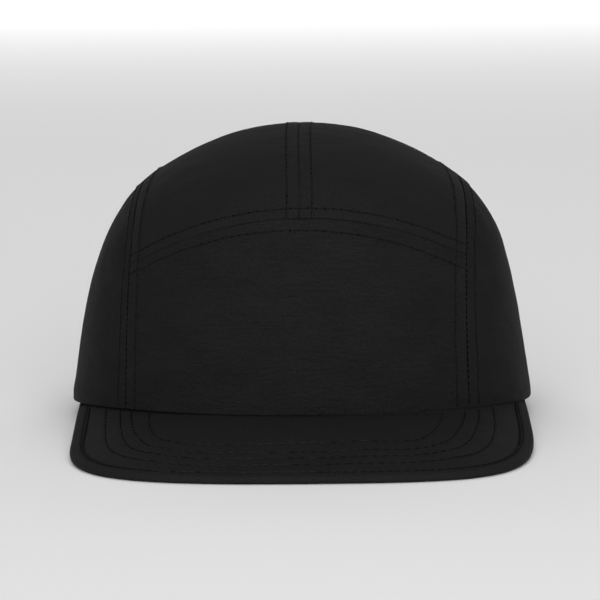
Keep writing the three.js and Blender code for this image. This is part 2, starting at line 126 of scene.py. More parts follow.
# How far each topstitched row lies from its seam. The left one is the wearer's left, at +X.
ARCH_ABOVE = 4.1 * MM
ARCH_BELOW = 4.8 * MM
ARCH_BELOW_TILT = 1.6 * MM  # more on the +X side, less on the other
CENTRE_ROW = 4.8 * MM
SIDE_INNER = {"left": 6.7 * MM, "right": 5.8 * MM}
SIDE_OUTER = {"left": 5.8 * MM, "right": 4.5 * MM}
HEM_OFFSET = 5.5 * MM

# The peak's four stitch rows, in millimetres in from its edge: at the left side, the left corner,
# the front on the left, the front on the right, the right corner and the right side.
# In the peak's names left is -X, as it is seen from the front.
PEAK_ROWS = [
    (29.9, 32.4, 29.8, 32.2, 37.2, 35.0),
    (22.6, 26.1, 22.4, 24.3, 28.8, 26.2),
    (18.2, 20.4, 17.0, 18.4, 22.2, 20.6),
    (12.3, 13.8, 11.2, 12.4, 14.9, 14.6),
]
ROW_STEP = (6 * MM, 22 * MM)  # between these the front's inset changes from left to right
CORNER_FACES = (0.08, 0.5)  # how far aside the edge faces where a row goes over to its corner's inset
CROWN_MEETS = 104 * MM  # behind the peak's front, where the rows meet the crown, less their inset
SIDE_RUN = 46 * MM  # over which a row draws in towards the corner
BINDING_STITCH = 3.9 * MM
TAPE_RIDGE = 4.65 * MM
TAPE_WIDTH = 5.6 * MM  # of the binding as sewn
MOST_SLANT = 2
UNDER_BAND = 1.3 * MM  # how far the peak's cloth runs on inside the wall

# How fine the cloth is
PITCH = 0.68 * MM
FRONT_PITCH = 0.58 * MM
PEAK_PITCH = 0.62 * MM
EDGE_PLACES = [0, 0.12 * MM, 0.3 * MM, 0.55 * MM, 0.85 * MM, 1.25 * MM]
LINE_STEP = 0.5 * MM
HALVINGS = 30
PROBE, SLOPE_PROBE = 0.05 * MM, 0.5 * MM
SEAM_STEPS, ARCH_STEPS, BASE_STEPS = 900, 700, 2400
EDGE_STEPS, SIDE_STEPS, CURVE_STEPS = 1200, 400, 1600

half_width = CROWN_WIDTH / 2
half_length = CROWN_LENGTH / 2
middle_height = MIDDLE_RISE * CROWN_HEIGHT
middle = np.array([0, 0, middle_height])
peak_front = -half_length - PEAK_REACH
peak_side = half_width - PEAK_INSET
# The solids are moved so that the whole cap is centred: this is how far back the crown's middle lies.
shift = np.array([0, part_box("peak_binding")[0].y - peak_front, 0])

FLAT = np.array([1, 1, 0])
MIRRORED = np.array([-1, 1, 1])


def lerp(a, b, t):
    return a + (b - a) * t


def smooth(x, low, high):
    t = np.clip((x - low) / (high - low), 0, 1)
    return t * t * (3 - 2 * t)


def bell(x, spread):
    """1 at x = 0, falling away on both sides."""
    return np.exp(-((x / spread) ** 2))


def vec(x, y, z):
    return np.stack(np.broadcast_arrays(x, y, z), axis=-1).astype(float)


def unit(v):
    return v / np.maximum(np.linalg.norm(v, axis=-1, keepdims=True), 1e-12)


def level(v):
    return unit(v * FLAT)


def run_length(path):
    """How far along a path each of its points lies."""
    return np.concatenate([[0], np.cumsum(np.linalg.norm(np.diff(path, axis=0), axis=1))])


def along_path(at, length, path):
    return np.stack([np.interp(at, length, path[:, k]) for k in range(path.shape[1])], axis=-1)


def grid(rows, columns):
    return np.meshgrid(rows, columns, indexing="ij")


# The crown's surface
def base_height(y):
    along = np.clip((LIFT_STARTS - y / half_length) / (LIFT_STARTS + 1), 0, 1)
    eased = np.where(along < LIFT_EASES, along**2 / (2 * LIFT_EASES), along - LIFT_EASES / 2)
    return FRONT_LIFT * eased / (1 - LIFT_EASES / 2)


climb_left = np.sqrt(1 - CROWN_LEVELS[:, RISE_COLUMN])
level_slopes = np.empty_like(CROWN_LEVELS)
for i in range(len(CROWN_LEVELS)):
    a, b = max(i - 1, 0), min(i + 1, len(CROWN_LEVELS) - 1)
    level_slopes[i] = (CROWN_LEVELS[b] - CROWN_LEVELS[a]) / (climb_left[b] - climb_left[a])


def levels_at(rise):
    """The crown's half width, front and back at a rise, as shares."""
    left = np.sqrt(1 - np.clip(rise, 0, 1))
    i = np.searchsorted(-climb_left[1:-1], -left, side="left")
    span = climb_left[i + 1] - climb_left[i]
    t = (left - climb_left[i]) / span
    bend = t * t * (3 - 2 * t)
    near, far = t * (1 - t) * (1 - t) * span, t * (1 - t) * t * span
    found = []
    for c in (HALF_WIDTH_COLUMN, FRONT_COLUMN, BACK_COLUMN):
        between = lerp(CROWN_LEVELS[i, c], CROWN_LEVELS[i + 1, c], bend)
        found.append(between + near * level_slopes[i, c] - far * level_slopes[i + 1, c])
    return found


def crown_field(p):
    """Negative inside the crown's outer surface and positive outside."""
    base = base_height(p[..., 1])
    rise = (p[..., 2] - base) / (CROWN_HEIGHT - base)
    width, front, back = levels_at(rise)
    width = np.maximum(width * half_width, 1e-9)
    front, back = -front * half_length, back * half_length
    ahead = (p[..., 1] - (front + back) / 2) / np.maximum((back - front) / 2, 1e-9)
    power = np.where(ahead < 0, FRONT_SQUARENESS, BACK_SQUARENESS)
    value = np.abs(p[..., 0] / width) ** power + np.abs(ahead) ** power - 1
    return np.where(rise >= 1, 1, value)


def cast_out(start, towards):
    near = np.zeros(np.broadcast(start[..., 0], towards[..., 0]).shape)
    far = np.full(near.shape, CROWN_LENGTH + CROWN_WIDTH)
    for _ in range(HALVINGS):
        half = (near + far) / 2
        inside = crown_field(start + towards * half[..., None]) < 0
        near = np.where(inside, half, near)
        far = np.where(inside, far, half)
    return start + towards * near[..., None]


def outward(p):
    """The crown's outward direction, measured just above the base edge where that is nearer."""
    low = base_height(p[..., 1]) + 2 * PROBE
    p = vec(p[..., 0], p[..., 1], np.maximum(p[..., 2], low))
    steps = np.eye(3) * PROBE
    return unit(np.stack([crown_field(p + s) - crown_field(p - s) for s in steps], axis=-1))


def base_point(turn):
    ahead = np.cos(turn)
    power = np.where(ahead > 0, FRONT_SQUARENESS, BACK_SQUARENESS)
    x = half_width * np.sign(turn) * np.abs(np.sin(turn)) ** (2 / power)
    y = -half_length * np.sign(ahead) * np.abs(ahead) ** (2 / power)
    return vec(x, y, base_height(y))


def front_turn(x):
    return np.arcsin((x / half_width) ** (FRONT_SQUARENESS / 2))


def back_turn(x):
    return np.pi - np.arcsin((x / half_width) ** (BACK_SQUARENESS / 2))


def angle_of(p):
    angle = np.arctan2(p[..., 2] - middle_height, -p[..., 1])
    return np.where(angle < -np.pi / 2, angle + 2 * np.pi, angle)


def at_angle(x, angle):
    return cast_out(vec(x, 0, middle_height), vec(0, -np.cos(angle), np.sin(angle)))


def wall_point(x, z, towards):
    return cast_out(vec(x, 0, z), vec(0, towards, 0))


def front_seam(t):
    return lerp(FRONT_PANEL_BASE_WIDTH, FRONT_PANEL_TOP_WIDTH, t) / 2


def top_seam(t):
    return lerp(FRONT_PANEL_TOP_WIDTH, TOP_PANELS_BACK_WIDTH, t**TOP_TAPER_POWER) / 2


def arch_point(x):
    side = np.abs(x) / front_seam(1)
    return wall_point(x, FRONT_LIFT + FRONT_PANEL_HEIGHT - ARCH_DROP * side**ARCH_POWER, -1)


def back_point(w, seam_x):
    """The top panels' back edge: round the opening, then along the base edge to the side seam."""
    along = np.clip((w - OPENING_SHARE) / (1 - OPENING_SHARE), 0, 1)
    on_base = base_point(back_turn(lerp(OPENING_WIDTH / 2, seam_x, along)))
    around = np.clip(w / OPENING_SHARE, 0, 1) * np.pi / 2
    arch = wall_point(OPENING_WIDTH / 2 * np.sin(around), OPENING_HEIGHT * np.cos(around), 1)
    return np.where((w >= OPENING_SHARE)[..., None], on_base, arch)


def front_point(t, w):
    low = base_point(np.sign(w) * front_turn(np.abs(w) * front_seam(0)))
    high = arch_point(w * front_seam(1))
    return at_angle(w * front_seam(t), lerp(angle_of(low), angle_of(high), t))


def top_point(t, w):
    seam_x = top_seam(t)
    start = arch_point(w * top_seam(0))
    end = back_point(w, top_seam(1))
    spread = end[..., 0] / top_seam(1) * seam_x
    x = lerp(w * seam_x, spread, t**BACK_SPREAD_POWER)
    return at_angle(x, lerp(angle_of(start), angle_of(end), t))


def seam_point(share):
    """The +X side seam, from the front of the base edge to its back."""
    low_share = np.clip(share / FRONT_ROW_SHARE, 0, 1)
    high_share = np.clip((share - FRONT_ROW_SHARE) / (1 - FRONT_ROW_SHARE), 0, 1)
    along_front = front_point(low_share, np.ones_like(low_share))
    along_top = top_point(high_share, np.ones_like(high_share))
    return np.where((share < FRONT_ROW_SHARE)[..., None], along_front, along_top)


def side_point(share, w):
    turns = lerp(front_turn(front_seam(0)), back_turn(top_seam(1)), share)
    return cast_out(middle, unit(lerp(seam_point(share), base_point(turns), w[..., None]) - middle))


# Sewn a little to one side: most at the front and low, none at the back
SEWN_ASIDE = -4.2 * MM
SEWN_ASIDE_HIGH = -1.35 * MM
ASIDE_HEIGHTS = (60 * MM, 100 * MM)  # between them the first gives way to the second
ASIDE_STARTS = (-60 * MM, 40 * MM)  # ahead of the middle
ASIDE_POWER = 6
# The side seams lie wider near the top.
SEWN_WIDER = 1.1 * MM
WIDER_HEIGHTS = (70 * MM, 100 * MM)
# The -X side seam lies further out, most above its middle.
RIGHT_OUT = 2.1 * MM
RIGHT_OUT_ENDS = (74 * MM, 100 * MM)
RIGHT_BOW = 1.1 * MM
BOW_HEIGHT = 70 * MM
BOW_SPREAD = 20 * MM
RIGHT_STARTS = (40 * MM, 62 * MM)


def sewn(p):
    """Points of the crown moved along it to where this cap's seams really lie."""
    x, y, z = p[..., 0], p[..., 1], p[..., 2]
    ahead = smooth(-y, *ASIDE_STARTS)
    inside = 1 - np.clip(np.abs(x) / half_width, 0, 1) ** ASIDE_POWER
    aside = lerp(SEWN_ASIDE, SEWN_ASIDE_HIGH, smooth(z, *ASIDE_HEIGHTS)) * ahead * inside
    bow = RIGHT_OUT * (1 - smooth(z, *RIGHT_OUT_ENDS)) + RIGHT_BOW * bell(z - BOW_HEIGHT, BOW_SPREAD)
    aside -= bow * ahead * inside**2 * smooth(-x, *RIGHT_STARTS)
    wider = SEWN_WIDER * np.sin(np.pi * np.clip(x / half_width, -1, 1))
    aside += wider * smooth(z, *WIDER_HEIGHTS) * ahead
    return cast_out(middle, unit(vec(x + aside, y, z) - middle))


# The crown leans a little to one side, less again at its top.
LEAN = 0.9 * MM
LEAN_HEIGHTS = (42 * MM, 82 * MM)
TOP_LEAN_SHARE = 0.6
TOP_LEAN_HEIGHT = 95 * MM
# Its cloth's edge hangs below the solids', down to the peak.
BASE_HANG = 0.24 * MM
HANG_EASE = 2 * MM
HANG_STARTS = 20 * MM


def leaned(p):
    edge = 1 - smooth(p[..., 2] - base_height(p[..., 1]), 0, HANG_EASE)
    drop = BASE_HANG * edge * smooth(-p[..., 1], -HANG_STARTS, HANG_STARTS)
    top = lerp(1, TOP_LEAN_SHARE, smooth(p[..., 2], TOP_LEAN_HEIGHT, CROWN_HEIGHT))
    return p + vec(LEAN * smooth(p[..., 2], *LEAN_HEIGHTS) * top, 0, -drop)


# Smooth random waves, the same each time
LATTICE = 256


def waves(u, v, seed):
    lattice = np.random.default_rng(seed).uniform(-1, 1, (LATTICE, LATTICE))
    iu, iv = np.floor(u).astype(int), np.floor(v).astype(int)
    fu, fv = u - iu, v - iv
    fu, fv = fu**3 * (fu * (6 * fu - 15) + 10), fv**3 * (fv * (6 * fv - 15) + 10)
    iu, iv, ju, jv = (i % LATTICE for i in (iu, iv, iu + 1, iv + 1))
    low = lerp(lattice[iu, iv], lattice[ju, iv], fu)
    return lerp(low, lerp(lattice[iu, jv], lattice[ju, jv], fu), fv)


def cells(u, v, size):
    """Places on the cloth, counted in cells of a size."""
    return u / size[0], v / size[1]


def creases(u, v, seed):
    """Narrow ridges: 1 along a crease, falling to 0 on both sides."""
    return 1 - np.abs(waves(u, v, seed)) ** 0.5


class Line:
    """A line on the cloth, with the distance of any point from it and how far along that is."""

    def __init__(self, points):
        length = run_length(points)
        self.at = np.linspace(0, length[-1], max(int(length[-1] / LINE_STEP), 2) + 1)
        self.points = along_path(self.at, length, points)
        self.tree = KDTree(len(self.points))
        for i, p in enumerate(self.points.tolist()):
            self.tree.insert(p, i)
        self.tree.balance()

    def measure(self, points):
        flat = points.reshape(-1, 3)
        nearest = np.fromiter((self.tree.find(p)[1] for p in flat.tolist()), int, len(flat))
        distance, along = np.full(len(flat), np.inf), np.zeros(len(flat))
        last = len(self.points) - 1
        for a, b in ((np.maximum(nearest - 1, 0), nearest), (nearest, np.minimum(nearest + 1, last))):
            start, step = self.points[a], self.points[b] - self.points[a]
            share = np.sum((flat - start) * step, axis=1) / np.maximum(np.sum(step * step, axis=1), 1e-15)
            share = np.clip(share, 0, 1)
            gap = np.linalg.norm(flat - start - step * share[:, None], axis=1)
            closer = gap < distance
            distance = np.where(closer, gap, distance)
            along = np.where(closer, lerp(self.at[a], self.at[b], share), along)
        return distance.reshape(points.shape[:-1]), along.reshape(points.shape[:-1])


def crown_lines():
    shares = np.linspace(0, 1, SEAM_STEPS)
    side = seam_point(shares)
    opening_w = np.concatenate([-shares[::-1], shares[1:]]) * OPENING_SHARE
    opening = back_point(np.abs(opening_w), top_seam(1))
    opening[:, 0] *= np.where(opening_w < 0, -1, 1)
    opening_turn = back_turn(OPENING_WIDTH / 2)
    return {
        "arch": Line(sewn(arch_point(np.linspace(-1, 1, ARCH_STEPS) * front_seam(1)))),
        "centre": Line(sewn(top_point(shares, np.zeros_like(shares)))),
        "left": Line(sewn(side)),
        "right": Line(sewn(side * MIRRORED)),
        "opening": Line(opening),
        "base": Line(base_point(np.linspace(-opening_turn, opening_turn, BASE_STEPS))),
    }


SEAMS = crown_lines()

# Relief across a topstitched seam, by the distance from it
SEAM_DIP = {"arch": 0.08 * MM, "centre": 0.06 * MM, "left": 0.24 * MM, "right": 0.24 * MM}
SEAM_DIP_SPREAD = 0.2 * MM
ALLOWANCE = 0.24 * MM
ALLOWANCE_RISE = 0.9 * MM
ALLOWANCE_EASE = 1.6 * MM
# Relief across a row of stitches, which pulls the cloth down, most at its holes, and gathers it
STITCH_PITCH = 3.2 * MM
VALLEY = 0.2 * MM
VALLEY_SPREAD = 0.5 * MM
HOLE_PULL = 0.28
PUCKER = 0.12 * MM
PUCKER_SPREAD = 3.6 * MM
GATHER = (2.6 * MM, 9 * MM)
LONG_GATHER = (5.5 * MM, 14 * MM)
LONG_SHARE = 0.7


def arch_below(x):
    return ARCH_BELOW + ARCH_BELOW_TILT * x / half_width


def stitch_relief(d, s, offset, pitch, seed, depth=VALLEY, pucker=PUCKER, spread=VALLEY_SPREAD):
    away = d - offset
    holes = 1 - HOLE_PULL + HOLE_PULL * np.cos(2 * np.pi * s / pitch)
    gather = waves(s / GATHER[0], away / GATHER[1] + 50, seed)
    gather += LONG_SHARE * waves(*cells(s, away, LONG_GATHER), seed + 1)
    return pucker * gather * bell(away, PUCKER_SPREAD) - depth * holes * bell(away, spread)


def seam_relief(name, offset, d, s, seed):
    raised = ALLOWANCE * smooth(d, 0, ALLOWANCE_RISE) * (1 - smooth(d, offset, offset + ALLOWANCE_EASE))
    dip = SEAM_DIP[name] * bell(d, SEAM_DIP_SPREAD)
    return raised - dip + stitch_relief(d, s, offset, STITCH_PITCH, seed)


def edge_relief(d, roll):
    """A turned edge, rolled inwards."""
    return -(roll - np.sqrt(np.maximum(roll**2 - np.clip(roll - d, 0, roll) ** 2, 0)))


# Meshes
def link(name, data):
    made = bpy.data.objects.new(name, data)
    bpy.context.scene.collection.objects.link(made)
    return made


def add_mesh(name, points, faces, material, uv=None):
    points = np.asarray(points, float).reshape(-1, 3) + shift
    mesh = bpy.data.meshes.new(name)
    mesh.vertices.add(len(points))
    mesh.vertices.foreach_set("co", points.ravel())
    corners = np.concatenate([f.ravel() for f in faces]).astype(np.int32)
    sizes = np.concatenate([np.full(len(f), f.shape[1]) for f in faces])
    mesh.loops.add(len(corners))
    mesh.loops.foreach_set("vertex_index", corners)
    mesh.polygons.add(len(sizes))
    starts = np.concatenate([[0], np.cumsum(sizes)[:-1]]).astype(np.int32)
    mesh.polygons.foreach_set("loop_start", starts)
    mesh.polygons.foreach_set("use_smooth", np.ones(len(sizes), bool))
    if uv is not None:
        layer = mesh.uv_layers.new(name="cloth")
        layer.data.foreach_set("uv", np.asarray(uv, float).reshape(-1, 2)[corners].ravel())
    mesh.update(calc_edges=True)
    mesh.validate()
    mesh.materials.append(material)
    return link(name, mesh)


def dress(piece, cad_node=None):
    """A piece rides with the cap and may stand for a solid."""
    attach(piece, "root")
    if cad_node:
        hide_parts(cad_node)


def numbered(*shape, start=0):
    return start + np.arange(math.prod(shape)).reshape(shape)


def strip(a, b):
    """Faces between neighbours along two rows of a grid's numbers."""
    return np.stack([a[..., :-1], b[..., :-1], b[..., 1:], a[..., 1:]], axis=-1).reshape(-1, 4)


def quads(index):
    return strip(index[:-1], index[1:])


def border(index):
    """Round a grid's border: along the first row, down the last column, back, and up."""
    return np.concatenate([index[0, :-1], index[:-1, -1], index[-1, :0:-1], index[:0:-1, 0]])


def closed_sheet(name, outer, inner, uv, material, flip=False):
    """A closed sheet: inner is a grid with every second row and column of the outer one."""
    index = numbered(*outer.shape[:2])
    inner_index = numbered(*inner.shape[:2], start=index.size)
    around, near = border(index), border(inner_index)
    first, between, then = around[0::2], around[1::2], np.roll(around[0::2], -1)
    far = np.roll(near, -1)
    corners = ((first, between, near), (between, then, far), (between, far, near))
    rim = np.concatenate([np.stack(three, axis=-1) for three in corners])
    faces = [quads(index), quads(inner_index)[:, ::-1], rim]
    if flip:
        faces = [f[:, ::-1] for f in faces]
    points = np.concatenate([outer.reshape(-1, 3), inner.reshape(-1, 3)])
    both = np.concatenate([uv.reshape(-1, 2), uv[::2, ::2].reshape(-1, 2)])
    return add_mesh(name, points, faces, material, both)


def spaced(length, pitch, fine_ends=(True, True)):
    """Shares from 0 to 1 about a pitch apart, closer near the ends, and an even number of steps."""
    lead, tail = (EDGE_PLACES if fine else [0] for fine in fine_ends)
    steps = max(int(round((length - lead[-1] - tail[-1]) / pitch)), 2)
    even = list(np.linspace(lead[-1], length - tail[-1], steps + 1))
    places = lead[:-1] + even + [length - e for e in tail[-2::-1]]
    if len(places) % 2 == 0:
        gap = len(places) // 2
        places.insert(gap, (places[gap - 1] + places[gap]) / 2)
    return np.array(places) / length


def cloth_uv(p, start_row):
    """How far each point of a grid lies along the cloth, across from its first column and up."""
    across = np.concatenate([[run_length(row)] for row in p])
    up = np.stack([run_length(p[:, k]) for k in range(p.shape[1])], axis=1)
    return np.stack([across, up - up[start_row]], axis=-1)


# Materials
def grey(value):
    return (value, value, value)


class Look:
    """A material, with the nodes and links that make it."""

    def __init__(self, name, **sockets):
        self.material = bpy.data.materials.new(name)
        self.material.use_nodes = True
        self.nodes = self.material.node_tree.nodes
        self.link = self.material.node_tree.links.new
        self.sockets = self.nodes["Principled BSDF"].inputs
        for key, value in sockets.items():
            self.sockets[key.replace("_", " ")].default_value = value

    def node(self, kind, **values):
        made = self.nodes.new(kind)
        for key, value in values.items():
            if key in made.inputs:
                made.inputs[key].default_value = value
            else:
                setattr(made, key, value)
        return made

    def texture(self, kind, across, up, angle=0.0, **values):
        """A texture on the cloth's own coordinates, with so many repeats a metre across and up."""
        place = self.node("ShaderNodeTexCoord")
        mapping = self.node("ShaderNodeMapping", Scale=(across, up, 1), Rotation=(0, 0, angle))
        made = self.node(kind, Scale=1.0, **values)
        self.link(place.outputs["UV"], mapping.inputs["Vector"])
        self.link(mapping.outputs["Vector"], made.inputs["Vector"])
        return made.outputs["Fac"]

    def noise(self, across, up, **values):
        return self.texture("ShaderNodeTexNoise", across, up, **values)

    def ribs(self, across, up, **values):
        return self.texture("ShaderNodeTexWave", across, up, **values)

    def ramp(self, source, dark, light, low=0.3, high=0.7):
        made = self.node("ShaderNodeValToRGB")
        ends = made.color_ramp.elements
        ends[0].position, ends[1].position = low, high
        ends[0].color, ends[1].color = (*dark, 1), (*light, 1)
        self.link(source, made.inputs["Fac"])
        return made.outputs["Color"]

    def bumps(self, *layers):
        """Layers of relief, each a texture's output, a strength and a depth."""
        last = None
        for output, strength, depth in layers:
            bump = self.node("ShaderNodeBump", Strength=strength, Distance=depth)
            self.link(output, bump.inputs["Height"])
            if last:
                self.link(last.outputs["Normal"], bump.inputs["Normal"])
            last = bump
        self.link(last.outputs["Normal"], self.sockets["Normal"])
        return self.material


WEAVE = 2600  # threads a metre
GRAIN = (grey(0.78), grey(1.22))
SHEEN_TINT = (0.9, 0.92, 1.0, 1)


def nylon(name, dark, light, crinkle, gloss=0.02, sheen=0.006, roughness=0.52):
    """Crinkled nylon: long low creases across the cloth, small ones, and a fine plain weave."""
    look = Look(name, Specular_IOR_Level=gloss, Sheen_Weight=sheen, Sheen_Roughness=0.35,
                Sheen_Tint=SHEEN_TINT)
    long = look.noise(150, 560, Detail=4.0, Roughness=0.62, Distortion=0.7)
    short = look.noise(520, 1000, Detail=3.0, Roughness=0.65, Distortion=1.0)
    broad = look.noise(45, 90, Detail=2.0, Roughness=0.5)
    weft = look.ribs(1, WEAVE, Distortion=0.6, bands_direction="Y")
    warp = look.ribs(WEAVE, 1, Distortion=0.6)
    grain = look.noise(1300, 1700, Detail=2.0, Roughness=0.6)
    speckle = look.node("ShaderNodeMix", data_type="RGBA", blend_type="MULTIPLY")
    speckle.inputs["Factor"].default_value = 1.0
    look.link(look.ramp(broad, grey(dark), grey(light)), speckle.inputs["A"])
    look.link(look.ramp(grain, *GRAIN, 0.38, 0.62), speckle.inputs["B"])
    look.link(speckle.outputs["Result"], look.sockets["Base Color"])
    rough = look.node("ShaderNodeMapRange")
    rough.inputs["To Min"].default_value = roughness - 0.06
    rough.inputs["To Max"].default_value = roughness + 0.08
    look.link(short, rough.inputs["Value"])
    look.link(rough.outputs["Result"], look.sockets["Roughness"])
    deeper = max(crinkle, 1.0) * MM
    return look.bumps((broad, 0.3, 0.5 * MM), (long, min(crinkle, 1.0), 0.35 * deeper),
                      (short, min(0.8 * crinkle, 1.0), 0.2 * deeper),
                      (weft, 0.25, 0.03 * MM), (warp, 0.25, 0.03 * MM))


def woven(name, dark, light, scale, depth, roughness=0.7, angle=0.0):
    """A coarser weave of diagonal or straight ribs."""
    look = Look(name, Specular_IOR_Level=0.12, Sheen_Weight=0.01, Sheen_Roughness=0.5, Roughness=roughness)
    ribs = look.ribs(scale, scale, angle=angle, Distortion=1.2, Detail=1.0)
    fuzz = look.noise(900, 900, Detail=3.0)
    look.link(look.ramp(fuzz, dark, light), look.sockets["Base Color"])
    return look.bumps((ribs, 0.7, depth), (fuzz, 0.4, 0.08 * MM))


def plain(name, value, roughness, gloss, noise_scale=6000.0, depth=0.05 * MM):
    """A material with only a fine grain, placed by the object's own coordinates."""
    look = Look(name, Roughness=roughness, Specular_IOR_Level=gloss)
    place = look.node("ShaderNodeTexCoord")
    grain = look.node("ShaderNodeTexNoise", Scale=noise_scale, Detail=3.0)
    look.link(place.outputs["Object"], grain.inputs["Vector"])
    look.link(look.ramp(grain.outputs["Fac"], grey(value), grey(1.3 * value)), look.sockets["Base Color"])
    return look.bumps((grain.outputs["Fac"], 0.4, depth))


front_cloth = nylon("front_nylon", 0.0117, 0.0140, 2.4)
top_cloth = nylon("top_nylon", 0.0120, 0.0134, 1.0)
side_cloth = nylon("side_nylon", 0.0110, 0.0132, 1.0, 0.012, 0.002)
peak_cloth = nylon("peak_nylon", 0.0126, 0.0140, 0.5)
binding_cloth = nylon("binding_nylon", 0.0134, 0.0150, 0.7, 0.014)
band_cloth = woven("band_twill", grey(0.006), grey(0.010), 700, 0.12 * MM, angle=math.radians(45))
webbing = woven("strap_webbing", (0.006, 0.006, 0.0065), (0.011, 0.011, 0.0115), 620, 0.22 * MM, 0.6)
slider_plastic = plain("slider_plastic", 0.006, 0.42, 0.35, 3500.0, 0.03 * MM)
thread = plain("thread", 0.0066, 0.5, 0.04)
peak_thread = plain("peak_thread", 0.0060, 0.5, 0.03)
shiny_thread = plain("shiny_thread", 0.0060, 0.42, 0.17)
seam_thread = plain("seam_thread", 0.0024, 0.6, 0.0)
# Painted shade: a near-black finish on a small dish at each needle hole, standing in for the shade in the
# hole
painted_hole_shade = plain("painted_hole_shade", 0.0010, 0.9, 0.0, depth=0.01 * MM)

# Crown panels: how high and wide their cloth is, about, from which the points are spaced
FRONT_SPAN = (82 * MM, 150 * MM)
TOP_SPAN = (200 * MM, 66 * MM)
SIDE_SPAN = (285 * MM, 92 * MM)
SIDE_TIP = 0.004  # share left off at both ends, where a side panel's seam and base edge meet

# Soft hollows and swells, folds and crinkles, each with its cell across and up
BROAD, BROAD_CELL = 0.22 * MM, (38 * MM, 30 * MM)
FOLDS, FOLD_CELL = 0.14 * MM, (15 * MM, 9 * MM)
CREASE_CELL, FINE_CELL = (9 * MM, 3.1 * MM), (5 * MM, 2.1 * MM)
CREASE_MIDDLE = 0.4
FINE_SHARE = 0.6
# share of the relief that is left beside an edge or a seam, and how far that reaches
BASE_CALM, OPENING_CALM, SEAM_CALM = (0.5, 6 * MM), (0, 5 * MM), (0.35, 9 * MM)
DRAWN_CELL = (7 * MM, 30 * MM)
DRAWN_SLANT = 13 * MM
DRAWN_AT, DRAWN_SPREAD = 9 * MM, 7 * MM  # how far from a seam its thread draws the cloth into folds
SIDE_FULLNESS = 0.2 * MM
SIDE_FULLER = (60 * MM, 88 * MM)
# The base edge is turned in, the opening's edge is hemmed.
BASE_ROLL = 0.9 * MM
BASE_ROLL_SHARE = 0.5
BASE_TURN = 0.25 * MM  # how far the wall draws in towards its edge
BASE_TURN_EASE = 4 * MM
OPENING_ROLL = 0.8 * MM
HEM_RISE = (0.2 * MM, 1.2 * MM)
HEM_EASE = 2 * MM
INNER_ALLOWANCE = 0.25 * MM
INNER_ALLOWANCE_ENDS = (5.8 * MM, 6.8 * MM)


def calmed(relief, d, calm):
    share, reach = calm
    return relief * lerp(share, 1, smooth(d, 0, reach))


def base_edge(relief, d):
    relief = calmed(relief, d, BASE_CALM) + BASE_ROLL_SHARE * edge_relief(d, BASE_ROLL)
    return relief - BASE_TURN * (1 - smooth(d, 0, BASE_TURN_EASE))


def opening_edge(relief, d, s, seed):
    relief = calmed(relief, d, OPENING_CALM) + edge_relief(d, OPENING_ROLL)
    relief += ALLOWANCE * smooth(d, *HEM_RISE) * (1 - smooth(d, HEM_OFFSET, HEM_OFFSET + HEM_EASE))
    return relief + stitch_relief(d, s, HEM_OFFSET, STITCH_PITCH, seed)


def panel_relief(p, uv, seams, seed, crinkled, drawn):
    """How far a panel's points stand out from the crown's plain surface."""
    u, v = uv[..., 0], uv[..., 1]
    relief = BROAD * waves(*cells(u, v, BROAD_CELL), seed)
    relief += SIDE_FULLNESS * smooth(np.abs(p[..., 0]), *SIDE_FULLER)
    relief += FOLDS * waves(*cells(u, v, FOLD_CELL), seed + 1)
    long = creases(*cells(u, v, CREASE_CELL), seed + 2)
    fine = creases(u / FINE_CELL[0] + 9, v / FINE_CELL[1], seed + 3)
    relief += crinkled * (long - CREASE_MIDDLE) + FINE_SHARE * crinkled * (fine - CREASE_MIDDLE)
    for k, (name, offset) in enumerate(seams.items()):
        d, s = SEAMS[name].measure(p)
        if name == "base":
            relief = base_edge(relief, d)
        elif name == "opening":
            relief = opening_edge(relief, d, s, seed + 40)
        else:
            relief = calmed(relief, d, SEAM_CALM) + seam_relief(name, offset, d, s, seed + 10 * k)
            folds = waves(s / DRAWN_CELL[0] + d / DRAWN_SLANT, d / DRAWN_CELL[1], seed + 20 + k)
            relief += drawn * bell(d - DRAWN_AT, DRAWN_SPREAD) * folds
    return relief


def inner_relief(p, seams):
    """On the inside the seam allowances lie flat along the seams."""
    raised = 0
    for name in seams:
        if name not in ("base", "opening"):
            d, _ = SEAMS[name].measure(p)
            raised = np.maximum(raised, INNER_ALLOWANCE * (1 - smooth(d, *INNER_ALLOWANCE_ENDS)))
    return raised


crown_surfaces = []


def crown_panel(cad_node, p, uv, seams, seed, material, crinkled, drawn, flip=False):
    p = sewn(p)
    normals = outward(p)
    outer = leaned(p + normals * panel_relief(p, uv, seams, seed, crinkled, drawn)[..., None])
    coarse = p[::2, ::2]
    depth = WALL + inner_relief(coarse, seams)
    inner = leaned(coarse - normals[::2, ::2] * depth[..., None])
    piece = closed_sheet(cad_node + "_cloth", outer, inner, uv, material, flip)
    dress(piece, cad_node)
    crown_surfaces.append(outer)


def front_panel():
    t, w = grid(spaced(FRONT_SPAN[0], FRONT_PITCH), 2 * spaced(FRONT_SPAN[1], FRONT_PITCH) - 1)
    p = front_point(t, w)
    uv = cloth_uv(p, 0)
    uv[..., 0] -= uv[:, p.shape[1] // 2, 0][:, None]
    seams = {"arch": arch_below(sewn(p)[..., 0]), **SIDE_INNER, "base": 0}
    crown_panel("front_panel", p, uv, seams, 100, front_cloth, 0.07 * MM, 0.1 * MM)


def top_panel(side, mirror, seed):
    columns = spaced(TOP_SPAN[1], PITCH)
    columns[np.argmin(np.abs(columns - OPENING_SHARE))] = OPENING_SHARE
    p = top_point(*grid(spaced(TOP_SPAN[0], PITCH), columns))
    seams = {"arch": ARCH_ABOVE, "centre": CENTRE_ROW, side: SIDE_INNER[side],
             "opening": HEM_OFFSET, "base": 0}
    crown_panel(f"top_panel_{side}", p * mirror, cloth_uv(p, 0), seams, seed, top_cloth,
                0.05 * MM, 0.18 * MM, side == "right")


